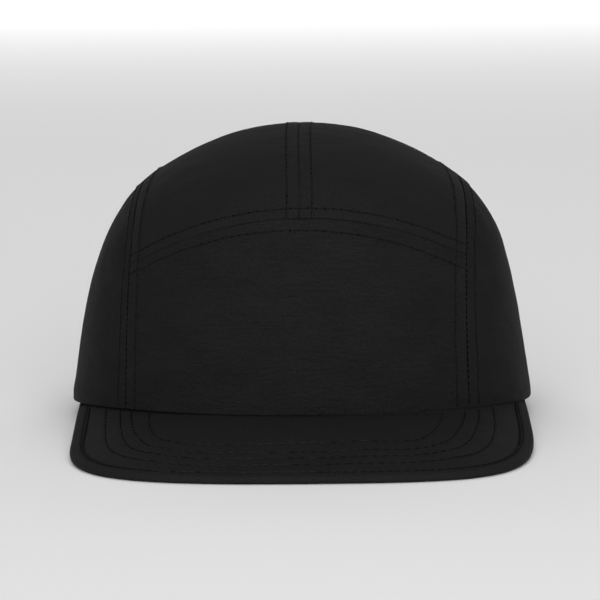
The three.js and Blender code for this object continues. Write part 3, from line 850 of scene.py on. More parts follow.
def side_panel(side, mirror, seed):
    rows = lerp(SIDE_TIP, 1 - SIDE_TIP, spaced(SIDE_SPAN[0], PITCH))
    p = side_point(*grid(rows, spaced(SIDE_SPAN[1], PITCH)))
    round_crown = half_width * np.arctan2(p[..., 0], -p[..., 1])
    uv = np.stack([round_crown, p[..., 2]], axis=-1)
    seams = {side: SIDE_OUTER[side], "base": 0}
    crown_panel(f"side_panel_{side}", p * mirror, uv, seams, seed, side_cloth,
                0.06 * MM, 0.18 * MM, side == "right")


front_panel()
for side, mirror, seed in (("left", 1, 200), ("right", MIRRORED, 300)):
    top_panel(side, mirror, seed)
    side_panel(side, mirror, seed + 50)


def surface_tree(grids):
    """A tree of a few grids' faces, which rays can be cast at."""
    corners, faces, start = [], [], 0
    for points in grids:
        corners.append(points.reshape(-1, 3))
        faces.append(quads(numbered(*points.shape[:2], start=start)))
        start += len(corners[-1])
    return BVHTree.FromPolygons(np.concatenate(corners).tolist(), np.concatenate(faces).tolist())


# Stitches
THREAD_SIDES = 6
THREAD_RINGS = 5
THREAD_RADIUS = 0.19 * MM
THREAD_SEAT = 0.55  # share of its radius that a thread's middle lies above the cloth
END_TAPER = 0.45
STITCH_SHARE = 0.96  # of the pitch that shows between two holes
LENGTH_VARIES = (0.94, 1.05)
PLACE_VARIES = 0.03
SLANT = 0.07 * MM
LIFT, CLOSED_LIFT = 0.15 * MM, 0.06 * MM
SINK, CLOSED_SINK = 0.4 * MM, 0.14 * MM
BURIED, CLOSED_BURIED = 0.14 * MM, 0.05 * MM
CAST_FROM, CAST_REACH = 4 * MM, 9 * MM
HOLE_SIDES = 8
HOLE_RADIUS = 0.4 * MM
HOLE_LIFT = 0.09 * MM
THREAD_SLOT, HOLE_SLOT, SECOND_SLOT = range(3)

# One stitch: its rings' centres, the cloth's directions and how far each ring is turned aside,
# its radius, and its chance of the second thread
Stitch = namedtuple("Stitch", "centres normals slants radius chance")


def stitch_row(path, directions, tree, pitch, seed,
               share=STITCH_SHARE, radius=THREAD_RADIUS, closed=0.0, chance=0.0):
    """Stitches along a path, laid on the cloth under it. Closed ones run into each other."""
    draw = np.random.default_rng(seed)
    along = run_length(path)
    count = int(along[-1] / pitch)
    closed = np.broadcast_to(closed, len(path))
    stitches = []
    for middle_at in (np.arange(count) + 0.5) * along[-1] / max(count, 1):
        shut = np.interp(middle_at, along, closed)
        length = pitch * lerp(share, 1.0, shut) * draw.uniform(*LENGTH_VARIES)
        middle_at += pitch * draw.uniform(-PLACE_VARIES, PLACE_VARIES)
        slant = draw.uniform(-SLANT, SLANT)
        buried = draw.uniform(0, lerp(BURIED, CLOSED_BURIED, shut))
        lift, sink = lerp(LIFT, CLOSED_LIFT, shut), lerp(SINK, CLOSED_SINK, shut)
        rings = []
        for q in np.linspace(-1, 1, THREAD_RINGS):
            place = middle_at + q * length / 2
            p = along_path(place, along, path)
            n = unit(along_path(place, along, directions))
            hit = tree.ray_cast(Vector(p + n * CAST_FROM), Vector(-n), CAST_REACH)[0]
            if hit is None:
                break
            height = radius * THREAD_SEAT + lift * (1 - q * q) - sink * q**4 - buried
            rings.append((np.array(hit) + n * height, n, slant * q))
        if len(rings) == THREAD_RINGS:
            stitches.append(Stitch(*map(np.array, zip(*rings)), radius, chance))
    return stitches


def hole_points(centres, normals, tangents, radii):
    """A needle hole where each stitch goes into the cloth, a small dish that carries painted shade: its rim,
    then its bottom.
    """
    grounds = centres - normals * (radii[:, None] * THREAD_SEAT - SINK - HOLE_LIFT)
    turns = np.linspace(0, 2 * np.pi, HOLE_SIDES, endpoint=False)[:, None]
    up = np.cross(normals, tangents)
    along = np.cross(up, normals)
    rim = grounds[:, None] + (along[:, None] * np.cos(turns) + up[:, None] * np.sin(turns)) * HOLE_RADIUS
    bottom = grounds - normals * 2 * HOLE_LIFT
    return np.concatenate([rim, bottom[:, None]], axis=1)


def stitch_mesh(name, stitches, material, second_material, lit_above=False):
    """All the stitches of one piece in one mesh of short bent threads."""
    count = len(stitches)
    centres, normals, slants, radii, chance = (np.array(column) for column in zip(*stitches))
    tangents = unit(np.gradient(centres, axis=1))
    aside = unit(np.cross(tangents, normals))
    centres = centres + aside * slants[..., None]
    up = np.cross(aside, tangents)
    turns = np.linspace(0, 2 * np.pi, THREAD_SIDES, endpoint=False)[:, None]
    ends = 1 - END_TAPER * np.abs(np.linspace(-1, 1, THREAD_RINGS)) ** 4
    spread = radii[:, None, None, None] * ends[None, :, None, None]
    ring = aside[:, :, None, :] * np.cos(turns) + up[:, :, None, :] * np.sin(turns)
    points = centres[:, :, None, :] + ring * spread
    index = numbered(count, THREAD_RINGS, THREAD_SIDES)
    turned = np.roll(index, -1, axis=2)
    sides = np.stack([index[:, :-1], turned[:, :-1], turned[:, 1:], index[:, 1:]], axis=-1).reshape(-1, 4)
    caps = np.concatenate([index[:, 0, ::-1], index[:, -1, :]])
    holes = hole_points(centres[:, 0], normals[:, 0], tangents[:, 0], radii)
    hole_index = numbered(count, HOLE_SIDES + 1, start=index.size)
    edge = hole_index[:, :HOLE_SIDES]
    centre = np.broadcast_to(hole_index[:, HOLE_SIDES:], edge.shape)
    fans = np.stack([edge, np.roll(edge, -1, axis=1), centre], axis=-1).reshape(-1, 3)
    every_point = np.concatenate([points.reshape(-1, 3), holes.reshape(-1, 3)])
    piece = add_mesh(name, every_point, [sides, caps, fans], material)
    # the holes take the painted hole shade
    piece.data.materials.append(painted_hole_shade)
    piece.data.materials.append(second_material)
    chosen = np.where(np.random.default_rng(77).random(count) < chance, SECOND_SLOT, THREAD_SLOT)
    # where it is lit from above, only the upper half of a stitch shines
    lit = (np.arange(THREAD_SIDES) < THREAD_SIDES / 2) | (not lit_above)
    on_sides = chosen[:, None, None] * lit * np.ones((1, THREAD_RINGS - 1, 1), int)
    slots = np.concatenate([on_sides.ravel(), chosen, chosen, np.full(len(fans), HOLE_SLOT)])
    piece.data.polygons.foreach_set("material_index", slots.astype(np.int32))
    return piece


def beside_seam(name, side, offset):
    """A path beside a seam, on one side of it, and the crown's outward direction there."""
    line = SEAMS[name].points
    tangents = unit(np.gradient(line, axis=0))
    path = line + unit(np.cross(tangents, outward(line))) * side * np.reshape(offset, (-1, 1))
    path = cast_out(middle, unit(path - middle))
    return path, outward(path)


EDGE_CLEAR = 1.2 * MM
ROW_ENDS = 0.6 * MM  # from the side seams
ROW_PAST_SEAM = 3.6 * MM
ROW_CLOSED = 0.3
# seam, side of it and offset
ROW_PLACES = [
    ("arch", -1, ARCH_ABOVE), ("arch", 1, arch_below(SEAMS["arch"].points[:, 0])),
    ("centre", -1, CENTRE_ROW), ("centre", 1, CENTRE_ROW),
    ("left", -1, SIDE_INNER["left"]), ("left", 1, SIDE_OUTER["left"]),
    ("right", -1, SIDE_OUTER["right"]), ("right", 1, SIDE_INNER["right"]),
]
BOX_PITCH = 2 * MM
BOX_SIDES = (OPENING_WIDTH / 2 + 7.5 * MM, OPENING_WIDTH / 2 + 11.5 * MM)
BOX_MARGIN = 1.5 * MM
BOX_STEPS = 30
# The seams' own thread: share of its pitch, radius, how closed, and chance of the dark thread
SEAM_PITCH = 2.3 * MM
SIDE_SEAM_THREAD = (0.82, 0.27 * MM, 0.0, 1.0)
TOP_SEAM_THREAD = (0.6, 0.15 * MM, 0.0, 0.0)
SEAM_THREAD_SHIFT = 0.12 * MM

crown_tree = surface_tree(crown_surfaces)


def above_edge(path):
    return path[:, 2] > base_height(path[:, 1]) + EDGE_CLEAR


def topstitching():
    stitches = []
    for number, (name, side, offset) in enumerate(ROW_PLACES):
        path, directions = beside_seam(name, side, offset)
        keep = above_edge(path)
        if name in ("arch", "centre"):
            across = np.minimum(SEAMS["left"].measure(path)[0], SEAMS["right"].measure(path)[0])
            keep &= (across > ROW_ENDS) & (np.abs(path[:, 0]) < front_seam(1) + ROW_PAST_SEAM)
        if name == "centre":
            keep &= SEAMS["opening"].measure(path)[0] > EDGE_CLEAR
        path, directions = leaned(path[keep]), directions[keep]
        stitches += stitch_row(path, directions, crown_tree, STITCH_PITCH, 900 + number, closed=ROW_CLOSED)
    return stitches


def opening_hem():
    path, directions = beside_seam("opening", 1, HEM_OFFSET)
    keep = path[:, 2] > EDGE_CLEAR
    return stitch_row(path[keep], directions[keep], crown_tree, STITCH_PITCH, 950)


def strap_boxes():
    """A box of stitches holds each end of the strap behind the leg of the opening."""
    near, far = BOX_SIDES
    low, high = STRAP_RAISE + BOX_MARGIN, STRAP_RAISE + STRAP_WIDTH - BOX_MARGIN
    corners = [(near, low), (far, low), (far, high), (near, high), (near, low)]
    share = np.linspace(0, 1, BOX_STEPS)
    stitches = []
    for side in (-1, 1):
        for (x0, z0), (x1, z1) in zip(corners[:-1], corners[1:]):
            path = wall_point(side * lerp(x0, x1, share), lerp(z0, z1, share), 1)
            stitches += stitch_row(path, outward(path), crown_tree, BOX_PITCH, 960 + side)
    return stitches


def seam_threads():
    """The seams' own thread shows as short dashes in the seams."""
    stitches = []
    for number, name in enumerate(["arch", "centre", "left", "right"]):
        path = SEAMS[name].points
        path = path[above_edge(path)] + vec(SEAM_THREAD_SHIFT, 0, SEAM_THREAD_SHIFT if name == "arch" else 0)
        look = SIDE_SEAM_THREAD if name in ("left", "right") else TOP_SEAM_THREAD
        stitches += stitch_row(leaned(path), outward(path), crown_tree, SEAM_PITCH, 980 + number, *look)
    return stitches


crown_rows = topstitching() + opening_hem() + strap_boxes() + seam_threads()
dress(stitch_mesh("crown_stitches", crown_rows, thread, seam_thread))


# Peak
def bezier(a, b, c, d, t):
    t = t[:, None]
    return (1 - t) ** 3 * a + 3 * (1 - t) ** 2 * t * b + 3 * (1 - t) * t * t * c + t**3 * d


def peak_outline(count, corner_shape):
    """The peak's edge on one side, from its tail under the crown to the middle of the front."""
    depth, pull, front_pull = corner_shape
    corner = np.array([peak_side, peak_front + depth])
    straight = np.linspace((peak_side, -TAIL_AHEAD * half_length), corner, SIDE_STEPS)
    side_handle = np.array([peak_side, corner[1] - pull * depth])
    front_handle = np.array([peak_side * front_pull, peak_front])
    front = np.array([0, peak_front])
    curve = bezier(corner, side_handle, front_handle, front, np.linspace(0, 1, CURVE_STEPS))
    path = np.concatenate([straight, curve[1:]])
    along = run_length(path)
    return along_path(np.linspace(0, along[-1], count + 1), along, path), along[-1]


def under_crown(y, thickness):
    return base_height(y) - SEAM_GAP - thickness / 2


def crossing(start, along, length):
    """How far along each line the crown's wall has its inner face."""
    def outside(distance):
        p = start + along * distance[:, None]
        p = vec(p[:, 0], p[:, 1], base_height(p[:, 1]))
        return crown_field(p + level(outward(p)) * WALL) > 0
    near, far = np.zeros(len(start)), length.copy()
    for _ in range(HALVINGS):
        half = (near + far) / 2
        out = outside(half)
        near, far = np.where(out, half, near), np.where(out, far, half)
    return np.where(outside(np.zeros(len(start))), near, 0)


class PeakLines:
    """Straight lines over the peak from its edge to under the crown, right round from -X to +X."""

    def __init__(self, count):
        halves = self.half(count, LEFT_CORNER), self.half(count, RIGHT_CORNER)
        both = [np.concatenate([a[:-1] * (MIRRORED if a.ndim > 1 else 1), b[::-1]]) for a, b in zip(*halves)]
        self.start, self.along, self.meets, self.wall_y, self.thickness = both
        self.run = np.maximum(self.meets, BINDING_WIDTH)
        rise = under_crown(self.wall_y, self.thickness)
        radius = BINDING_THICKNESS / 2
        resting = radius * (self.run - rise) / (self.run - radius)
        rest_y = peak_front + RESTING_CORNER * PEAK_CORNER_DEPTH
        join_y = base_point(front_turn(peak_side))[1]
        climb = np.clip((self.start[:, 1] - rest_y) / (join_y - rest_y), 0, 1) ** 2
        self.edge_height = lerp(resting, under_crown(self.start[:, 1], BINDING_THICKNESS), climb)
        tangent = unit(np.gradient(self.start, axis=0))
        across = np.abs(tangent[:, 0] * self.along[:, 1] - tangent[:, 1] * self.along[:, 0])
        # length along a line for each length square to the edge
        self.slant = 1 / np.clip(across, 1 / MOST_SLANT, 1)

    def half(self, count, corner_shape):
        edge, _ = peak_outline(count, corner_shape)
        base = base_point(math.acos(TAIL_AHEAD) * (1 - np.arange(count + 1) / count))
        end = base - level(outward(base)) * PEAK_TUCK
        start = vec(edge[:, 0], edge[:, 1], 0)
        along = end * FLAT - start
        meets = crossing(start, unit(along), np.linalg.norm(along, axis=-1))
        over = 1 - smooth(meets, BINDING_WIDTH, 2 * BINDING_WIDTH)
        wall_y = start[:, 1] + unit(along)[:, 1] * meets
        return start, unit(along), meets, wall_y, lerp(PEAK_THICKNESS, BINDING_THICKNESS, over)

    def points(self, inset):
        """Points of the middle layer, a grid of insets with a row for each line."""
        p = self.start[:, None] + self.along[:, None] * inset[..., None]
        high = under_crown(self.wall_y, self.thickness)[:, None]
        p[..., 2] = lerp(self.edge_height[:, None], high, inset / self.run[:, None])
        return p

    def up(self, inset):
        across = np.gradient(self.points(inset), axis=0)
        slope = self.points(inset + SLOPE_PROBE) - self.points(inset)
        n = unit(np.cross(across, slope))
        return n * np.where(n[..., 2:] < 0, -1, 1)

    def shown(self, wide):
        """The lines from the first wide one to its fellow on the other side."""
        first = int(np.argmax(wide))
        return slice(first, len(wide) - first)


left_edge, half_edge_length = peak_outline(EDGE_STEPS, LEFT_CORNER)
right_edge, _ = peak_outline(EDGE_STEPS, RIGHT_CORNER)
edge_line = np.concatenate([left_edge[:-1] * MIRRORED[:2], right_edge[::-1]])
edge_line = Line(vec(edge_line[:, 0], edge_line[:, 1], 0))
edge_points = edge_line.points
edge_inward = unit(np.cross(vec(0, 0, 1), unit(np.gradient(edge_points, axis=0))))


def row_inset(row, s):
    """How far in from the edge a row lies, beside the place s along the edge."""
    left_side, left_corner, left, right, right_corner, right_side = (MM * inset for inset in row)
    x = np.interp(s, edge_line.at, edge_points[:, 0])
    faces_aside = np.interp(s, edge_line.at, np.abs(edge_inward[:, 0]))
    behind = np.interp(s, edge_line.at, edge_points[:, 1]) - peak_front
    front = lerp(left, right, smooth(x, *ROW_STEP))
    corner = np.where(x < 0, left_corner, right_corner)
    side = np.where(x < 0, left_side, right_side)
    inset = lerp(front, corner, smooth(faces_aside, *CORNER_FACES))
    side_to = CROWN_MEETS - side
    return lerp(inset, side, smooth(behind, side_to - SIDE_RUN, side_to))


PEAK_STITCH_PITCH = 3.9 * MM
PEAK_SPAN = 62 * MM
PEAK_SWELL, SWELL_CELL = 0.12 * MM, (30 * MM, 16 * MM)
PEAK_CREASE, PEAK_CREASE_CELL = 0.03 * MM, (8 * MM, 3 * MM)
PEAK_MOST = 0.25 * MM  # relief
ROW_VALLEY = 0.14 * MM
ROW_SPREAD = 0.4 * MM
ROW_PUCKER = 0.4 * PUCKER
ROW_PUFF = 0.04 * MM
PUFF_AT, PUFF_SPREAD = 2.8 * MM, 1.8 * MM
# The cloth is drawn in round the corners, in fine creases square to the edge.
FAN, FAN_CELL = 0.14 * MM, (2.2 * MM, 14 * MM)
FAN_X, FAN_X_SPREAD = 72 * MM, 16 * MM
FAN_INSET, FAN_INSET_SPREAD = 7.5 * MM, 3.2 * MM
# A groove lies along the tape, and none where the peak goes under the crown.
GROOVE, GROOVE_SPREAD = 0.55 * MM, 0.3 * MM
GROOVE_AT = TAPE_WIDTH + 0.08 * MM
GROOVE_ENDS = (1 * MM, 3.5 * MM)
WALL_PRESS, PRESS_SPREAD = 0.14 * MM, 1.6 * MM
CLOTH_FROM = 0.1 * MM  # beside the tape
LEAST_CLOTH = 0.6 * MM


def peak_relief(p, seed, clear):
    d, s = edge_line.measure(p * FLAT)
    x, y = p[..., 0], p[..., 1]
    relief = PEAK_SWELL * waves(*cells(x, y, SWELL_CELL), seed)
    relief += PEAK_CREASE * creases(*cells(x, y, PEAK_CREASE_CELL), seed + 1)
    for k, row in enumerate(PEAK_ROWS[::-1]):
        inset = row_inset(row, s)
        relief += stitch_relief(d, s, inset, PEAK_STITCH_PITCH, seed + 5 * k,
                                ROW_VALLEY, ROW_PUCKER, ROW_SPREAD)
        relief += ROW_PUFF * bell(d - inset + PUFF_AT, PUFF_SPREAD)
    at_corner = bell(np.abs(x) - FAN_X, FAN_X_SPREAD) * bell(d - FAN_INSET, FAN_INSET_SPREAD)
    relief += FAN * at_corner * waves(*cells(s, d, FAN_CELL), seed + 30)
    return relief - clear * GROOVE * bell(d - GROOVE_AT, GROOVE_SPREAD)


lines = PeakLines(int(half_edge_length / PEAK_PITCH))


def peak_sheet():
    """The peak's cloth beside the tape: its upper and its lower face."""
    cloth_from = TAPE_WIDTH * lines.slant + CLOTH_FROM
    width = lines.meets + UNDER_BAND - cloth_from
    picked = lines.shown(width > LEAST_CLOTH)
    if (picked.stop - picked.start) % 2 == 0:
        picked = slice(picked.start, picked.stop - 1)
    shares = spaced(PEAK_SPAN, PEAK_PITCH, (True, False))
    inset = cloth_from[:, None] + np.maximum(width, 0)[:, None] * shares
    p, ups = lines.points(inset)[picked], lines.up(inset)[picked]
    to_wall = np.abs(lines.meets[:, None] + LEAST_CLOTH - inset)[picked]
    clear = smooth(to_wall, *GROOVE_ENDS)
    top_relief = peak_relief(p, 500, clear) + WALL_PRESS * bell(to_wall, PRESS_SPREAD)
    low_p, low_ups = p[::2, ::2], ups[::2, ::2]
    low_relief = peak_relief(low_p, 600, clear[::2, ::2])
    top = p + ups * (PEAK_THICKNESS / 2 + np.minimum(top_relief, PEAK_MOST))[..., None]
    low = low_p - low_ups * (PEAK_THICKNESS / 2 + np.minimum(low_relief, PEAK_MOST))[..., None]
    dress(closed_sheet("peak_cloth", top, low, p[..., :2], peak_cloth), "peak")
    return top, low


# Binding: a tape folded over the peak's edge, sewn near its inner border
TAPE_RADIUS = BINDING_THICKNESS / 2
TAPE_TURN = np.radians(np.linspace(0, 82, 9))
TAPE_FACE = np.linspace(1.75 * MM, TAPE_WIDTH - 0.3 * MM, 18)
TAPE_VALLEY, TAPE_VALLEY_SPREAD = 0.2 * MM, 0.24 * MM
TAPE_RISE, TAPE_RISE_SPREAD = 0.26 * MM, 0.4 * MM
# in from the tape's width and down from its face
TAPE_BORDER = ((0.2 * MM, 0.1 * MM), (0.08 * MM, 0.8 * MM))
LEAST_TAPE = 0.1 * MM
TAPE_FACE_ENDS = TAPE_WIDTH - 0.25 * MM
TAPE_CLEAR = (0.4 * MM, 3 * MM)  # before the crown, where the tape's relief ends
TAPE_SWELL, TAPE_SWELL_CELL = 0.12 * MM, 11 * MM
TAPE_FINE, TAPE_FINE_CELL = 0.05 * MM, (3 * MM, 2 * MM)


def binding_profile():
    """The tape's section, by inset and height, from its lower border round the edge to its upper one."""
    face = [(TAPE_RADIUS * (1 - math.cos(a)), TAPE_RADIUS * math.sin(a)) for a in TAPE_TURN]
    valley = TAPE_VALLEY * bell(TAPE_FACE - BINDING_STITCH, TAPE_VALLEY_SPREAD)
    ridge = TAPE_RISE * bell(TAPE_FACE - TAPE_RIDGE, TAPE_RISE_SPREAD)
    face += zip(TAPE_FACE, TAPE_RADIUS - valley + ridge)
    face += [(TAPE_WIDTH - back, TAPE_RADIUS - down) for back, down in TAPE_BORDER]
    face = np.array(face)
    return np.concatenate([face[:0:-1] * np.array([1, -1]), face])


def binding_tape():
    profile = binding_profile()
    picked = lines.shown(lines.meets > LEAST_TAPE)
    squeeze = np.minimum(lines.slant, (lines.meets + UNDER_BAND) / TAPE_WIDTH)[:, None]
    inset = profile[:, 0] * squeeze
    s = np.linspace(0, 2 * half_edge_length, len(lines.meets))[:, None]
    swell = TAPE_SWELL * waves(s / TAPE_SWELL_CELL, np.full_like(s, 0.5), 700)
    swell = swell + TAPE_FINE * waves(*cells(s, profile[None, :, 0], TAPE_FINE_CELL), 701)
    on_face = (profile[:, 0] > TAPE_RADIUS) & (profile[:, 0] < TAPE_FACE_ENDS)
    smoothed = np.where(on_face, np.sign(profile[:, 1]) * TAPE_RADIUS, profile[:, 1])
    clear = smooth(lines.meets[:, None] - inset, *TAPE_CLEAR)
    height = lerp(smoothed, profile[:, 1], clear) * (1 + swell / BINDING_THICKNESS)
    ring = (lines.points(inset) + lines.up(inset) * height[..., None])[picked]
    index = numbered(*ring.shape[:2])
    turned = np.roll(index, -1, axis=1)
    sides = np.stack([index[:-1], index[1:], turned[1:], turned[:-1]], axis=-1).reshape(-1, 4)
    caps = np.stack([index[0], index[-1][::-1]])
    uv = np.stack(np.broadcast_arrays(s[picked], run_length(profile)), axis=-1)
    dress(add_mesh("binding_tape", ring, [sides, caps], binding_cloth, uv), "peak_binding")
    return ring


# The peak's stitches, above and below
PEAK_SHARE = 0.84
PEAK_THREAD_RADIUS = 0.24 * MM
CLOSED_RADIUS = 0.18 * MM
CLOSED_AT = (50 * MM, 68 * MM)  # towards the peak's corners the stitches close up into a line
# Where on the peak the thread lies turned so that it catches the light, most often near its middle
SHINY_AT = -24 * MM
SHINY_SPREAD = 30 * MM
SHINY_MOST = 0.96
ROW_PLAY = 0.12 * MM
CROWN_CLEAR = 0.004  # of the crown's field
CAST_HEIGHT = 60 * MM
BINDING_ROW = (BINDING_STITCH / MM,) * len(PEAK_ROWS[0])


def peak_row_path(row):
    inset = row_inset(row, edge_line.at)
    path = edge_points + edge_inward * inset[:, None]
    nearest = edge_line.measure(path)[0] > inset - ROW_PLAY
    at_base = vec(path[:, 0], path[:, 1], base_height(path[:, 1]))
    return path[nearest & (crown_field(at_base) > CROWN_CLEAR)]


def laid_on(tree, path, face):
    """Where a path lies on the peak's upper face, or on its lower one."""
    down = Vector((0, 0, -face))
    hits = [tree.ray_cast(Vector((p[0], p[1], face * CAST_HEIGHT)), down, 2 * CAST_HEIGHT)[0] for p in path]
    return np.array([tuple(hit) for hit in hits if hit is not None])


def peak_rows(top_tree, low_tree):
    stitches = []
    for number, row in enumerate(PEAK_ROWS + [BINDING_ROW]):
        pitch = STITCH_PITCH if row == BINDING_ROW else PEAK_STITCH_PITCH
        for face, tree in ((1, top_tree), (-1, low_tree)):
            path = laid_on(tree, peak_row_path(row), face)
            directions = np.broadcast_to(np.array([0.0, 0.0, face]), path.shape)
            closed = smooth(np.abs(path[:, 0]), *CLOSED_AT)
            seed = 800 + number + 20 * face
            for stitch in stitch_row(path, directions, tree, pitch, seed, PEAK_SHARE, CLOSED_RADIUS, closed):
                x = stitch.centres[THREAD_RINGS // 2][0]
                radius = lerp(PEAK_THREAD_RADIUS, CLOSED_RADIUS, smooth(abs(x), *CLOSED_AT))
                shine = SHINY_MOST * bell(x - SHINY_AT, SHINY_SPREAD)
                stitches.append(stitch._replace(radius=radius, chance=shine))
    return stitches


peak_top, peak_low = peak_sheet()
ring = binding_tape()
half_ring = ring.shape[1] // 2
trees = surface_tree([peak_top, ring[:, half_ring:]]), surface_tree([peak_low, ring[:, :half_ring + 1]])
dress(stitch_mesh("peak_stitches", peak_rows(*trees), peak_thread, shiny_thread, True))

# Sweatband
BAND_SPAN = 500 * MM
BAND_PITCH = (1.1 * MM, 0.8 * MM)
BAND_ROLL = 0.55 * MM
BAND_WAVES, BAND_WAVE_CELL, BAND_WAVE_ROWS = 0.25 * MM, 26 * MM, 1.5
BAND_MOST_OUT = 0.1 * MM
BAND_SKIN = 0.05 * MM
BAND_HEM, BAND_HEM_AT, BAND_HEM_SPREAD = 0.22 * MM, 3 * MM, 0.6 * MM


def sweatband():
    turn = back_turn(OPENING_WIDTH / 2 + STRAP_OVERLAP + BAND_END_GAP)
    along, up = spaced(BAND_SPAN, BAND_PITCH[0]), spaced(BAND_HEIGHT, BAND_PITCH[1])
    t, w = grid(lerp(-turn, turn, along), up)
    base = base_point(t)
    z = lerp(base[..., 2], CROWN_HEIGHT, (BAND_RAISE + w * BAND_HEIGHT) / CROWN_HEIGHT)
    wall = cast_out(vec(0, 0, z), level(base))
    wall_out = outward(wall)
    uv = cloth_uv(wall, len(along) // 2)
    thin = edge_relief(np.minimum(w, 1 - w) * BAND_HEIGHT, BAND_ROLL)
    wavy = BAND_WAVES * waves(uv[..., 1] / BAND_WAVE_CELL, w * BAND_WAVE_ROWS, 750) * w
    depth = WALL + SEAM_GAP + BAND_THICKNESS + np.maximum(wavy, -BAND_MOST_OUT)
    hem = BAND_HEM * bell(w * BAND_HEIGHT - BAND_HEM_AT, BAND_HEM_SPREAD)
    inner = wall - wall_out * (depth + thin - hem)[..., None]
    outer = (wall - wall_out * (depth - BAND_THICKNESS + BAND_SKIN)[..., None])[::2, ::2]
    dress(closed_sheet("sweatband_twill", inner, outer, uv, band_cloth, True), "sweatband")
    column = int(np.argmin(np.abs(up * BAND_HEIGHT - BAND_HEM_AT)))
    path, directions = inner[1:-1, column], -wall_out[1:-1, column]
    row = stitch_row(path, directions, surface_tree([inner]), STITCH_PITCH, 870)
    dress(stitch_mesh("band_stitches", row, thread, thread))


sweatband()

# Strap
STRAP_PITCH = (0.55 * MM, 0.5 * MM)
STRAP_ROLL = 0.5 * MM
strap_middle = STRAP_RAISE + STRAP_WIDTH / 2
strap_half = OPENING_WIDTH / 2 + STRAP_OVERLAP
strap_depth = WALL + STRAP_GAP + STRAP_THICKNESS / 2
slider_offset = SLIDER_THICKNESS / 2 + SEAM_GAP + STRAP_THICKNESS / 2


def strap_point(x):
    in_slot = SLIDER_BAR / 2 + STRAP_THICKNESS
    out_of_slot = SLIDER_BAR / 2 + SLIDER_SLOT - STRAP_THICKNESS
    forward = 2 * slider_offset * (1 - smooth(np.abs(x), in_slot, out_of_slot))
    at = wall_point(x, np.full_like(x, strap_middle), 1)
    return at - outward(at) * (strap_depth - forward)[:, None]


def strap():
    xs = lerp(-strap_half, strap_half, spaced(2 * strap_half, STRAP_PITCH[0], (False, False)))
    line = strap_point(xs)
    tangent = level(line[2:] - line[:-2])
    tangent = np.concatenate([tangent[:1], tangent, tangent[-1:]])
    across = vec(-tangent[:, 1], tangent[:, 0], 0)[:, None]
    shares = spaced(STRAP_WIDTH, STRAP_PITCH[1])
    heights = strap_middle + (shares - 0.5) * STRAP_WIDTH
    p = vec(line[:, :1], line[:, 1:2], heights)
    rounding = edge_relief(np.minimum(shares, 1 - shares) * STRAP_WIDTH, STRAP_ROLL)
    thick = (STRAP_THICKNESS / 2 + rounding)[None, :, None]
    uv = np.stack(np.broadcast_arrays(xs[:, None], heights), axis=-1)
    piece = closed_sheet("strap_webbing", p + across * thick, (p - across * thick)[::2, ::2], uv, webbing)
    dress(piece, "back_strap")


strap()

# Slider: the moulded plate with softened edges
SLIDER_SOFTENING = 0.45 * MM
FLAT_ANGLE, SHARP_ANGLE = math.radians(2), math.radians(50)


def slider():
    plate = bmesh.new()
    plate.from_mesh(bpy.data.objects["strap_slider"].data)
    bmesh.ops.remove_doubles(plate, verts=plate.verts, dist=0.01 * MM)
    bmesh.ops.dissolve_limit(plate, angle_limit=FLAT_ANGLE, verts=plate.verts, edges=plate.edges)
    sharp = [e for e in plate.edges if len(e.link_faces) == 2 and e.calc_face_angle() > SHARP_ANGLE]
    bmesh.ops.bevel(plate, geom=sharp, offset=SLIDER_SOFTENING, segments=3, profile=0.5,
                    affect="EDGES", clamp_overlap=True)
    mesh = bpy.data.meshes.new("slider_plate")
    plate.to_mesh(mesh)
    plate.free()
    mesh.materials.append(slider_plastic)
    dress(link("slider_plate", mesh), "strap_slider")


slider()

# Floor, light and camera
bpy.ops.mesh.primitive_plane_add(size=14, location=(0, 0, 0))
floor = bpy.context.object
floor.name = "floor"
paper = Look("floor_paper", Base_Color=(*grey(0.93), 1), Roughness=0.9, Specular_IOR_Level=0.1)
floor.data.materials.append(paper.material)

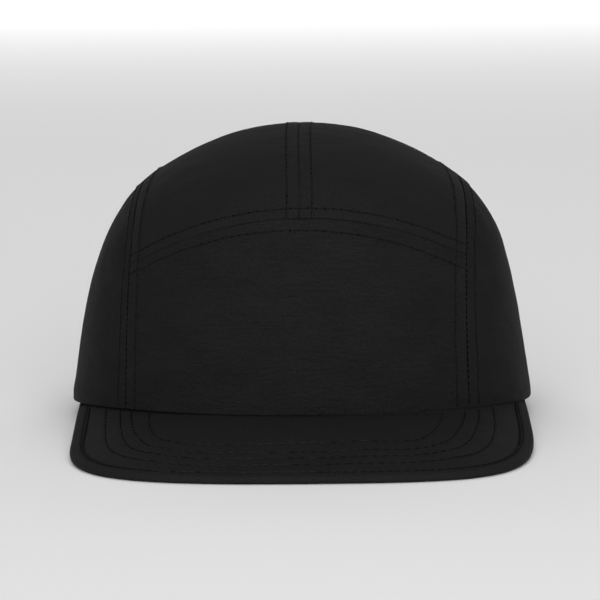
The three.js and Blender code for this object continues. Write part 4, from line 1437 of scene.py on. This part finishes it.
world = bpy.data.worlds.new("studio")
bpy.context.scene.world = world
world.use_nodes = True
world.node_tree.nodes["Background"].inputs["Color"].default_value = (1, 1, 1, 1)
world.node_tree.nodes["Background"].inputs["Strength"].default_value = 0.32


def turned_to(made, towards, roll=0.0):
    made.rotation_mode = "QUATERNION"
    made.rotation_quaternion = towards.to_track_quat("-Z", "Y") @ Quaternion((0, 0, 1), roll)


def soft_light(name, place, aim, size, power):
    light = bpy.data.lights.new(name, "AREA")
    light.shape = "RECTANGLE"
    light.size, light.size_y = size
    light.energy = power
    lamp = link(name, light)
    lamp.location = place
    turned_to(lamp, Vector(aim) - Vector(place))
    return lamp


CAP_MIDDLE = (0, 0.02, 0.05)
soft_light("key", (0.1, -2.7, 1.05), CAP_MIDDLE, (2.8, 1.5), 44)
soft_light("low_front", (0.2, -2.4, 0.3), CAP_MIDDLE, (2.4, 0.5), 13)
soft_light("overhead", (0, 0, 2.4), CAP_MIDDLE, (2.5, 2.0), 16)
for side in (-1, 1):
    fill = soft_light("fill", (side * 1.1, 2.6, 1.5), CAP_MIDDLE, (1.6, 1.2), 8)
    fill.visible_glossy = False  # it lights the back and sides, with no glare along the edges
far = soft_light("far_floor", (0, 4.3, 2.6), (0, 4.3, 0), (6.0, 3.4), 150)
far.data.spread = math.radians(70)  # it lights the floor behind and not the cap

CAMERA_DISTANCE = 1.5
CAMERA_ELEVATION = math.radians(8.92)
CAMERA_ROLL = math.radians(-0.5)
CAMERA_LENS = 222.2
AIM = Vector((-0.6 * MM, 26.2 * MM, 45.19 * MM))
camera_data = bpy.data.cameras.new("camera")
camera_data.sensor_width = 36
camera_data.lens = CAMERA_LENS
camera_data.clip_start, camera_data.clip_end = 0.05, 60
camera = link("camera", camera_data)
back = Vector((0, -math.cos(CAMERA_ELEVATION), math.sin(CAMERA_ELEVATION)))
camera.location = AIM + back * CAMERA_DISTANCE
turned_to(camera, -back, CAMERA_ROLL)
bpy.context.scene.camera = camera
bpy.context.scene.view_settings.view_transform = "Standard"
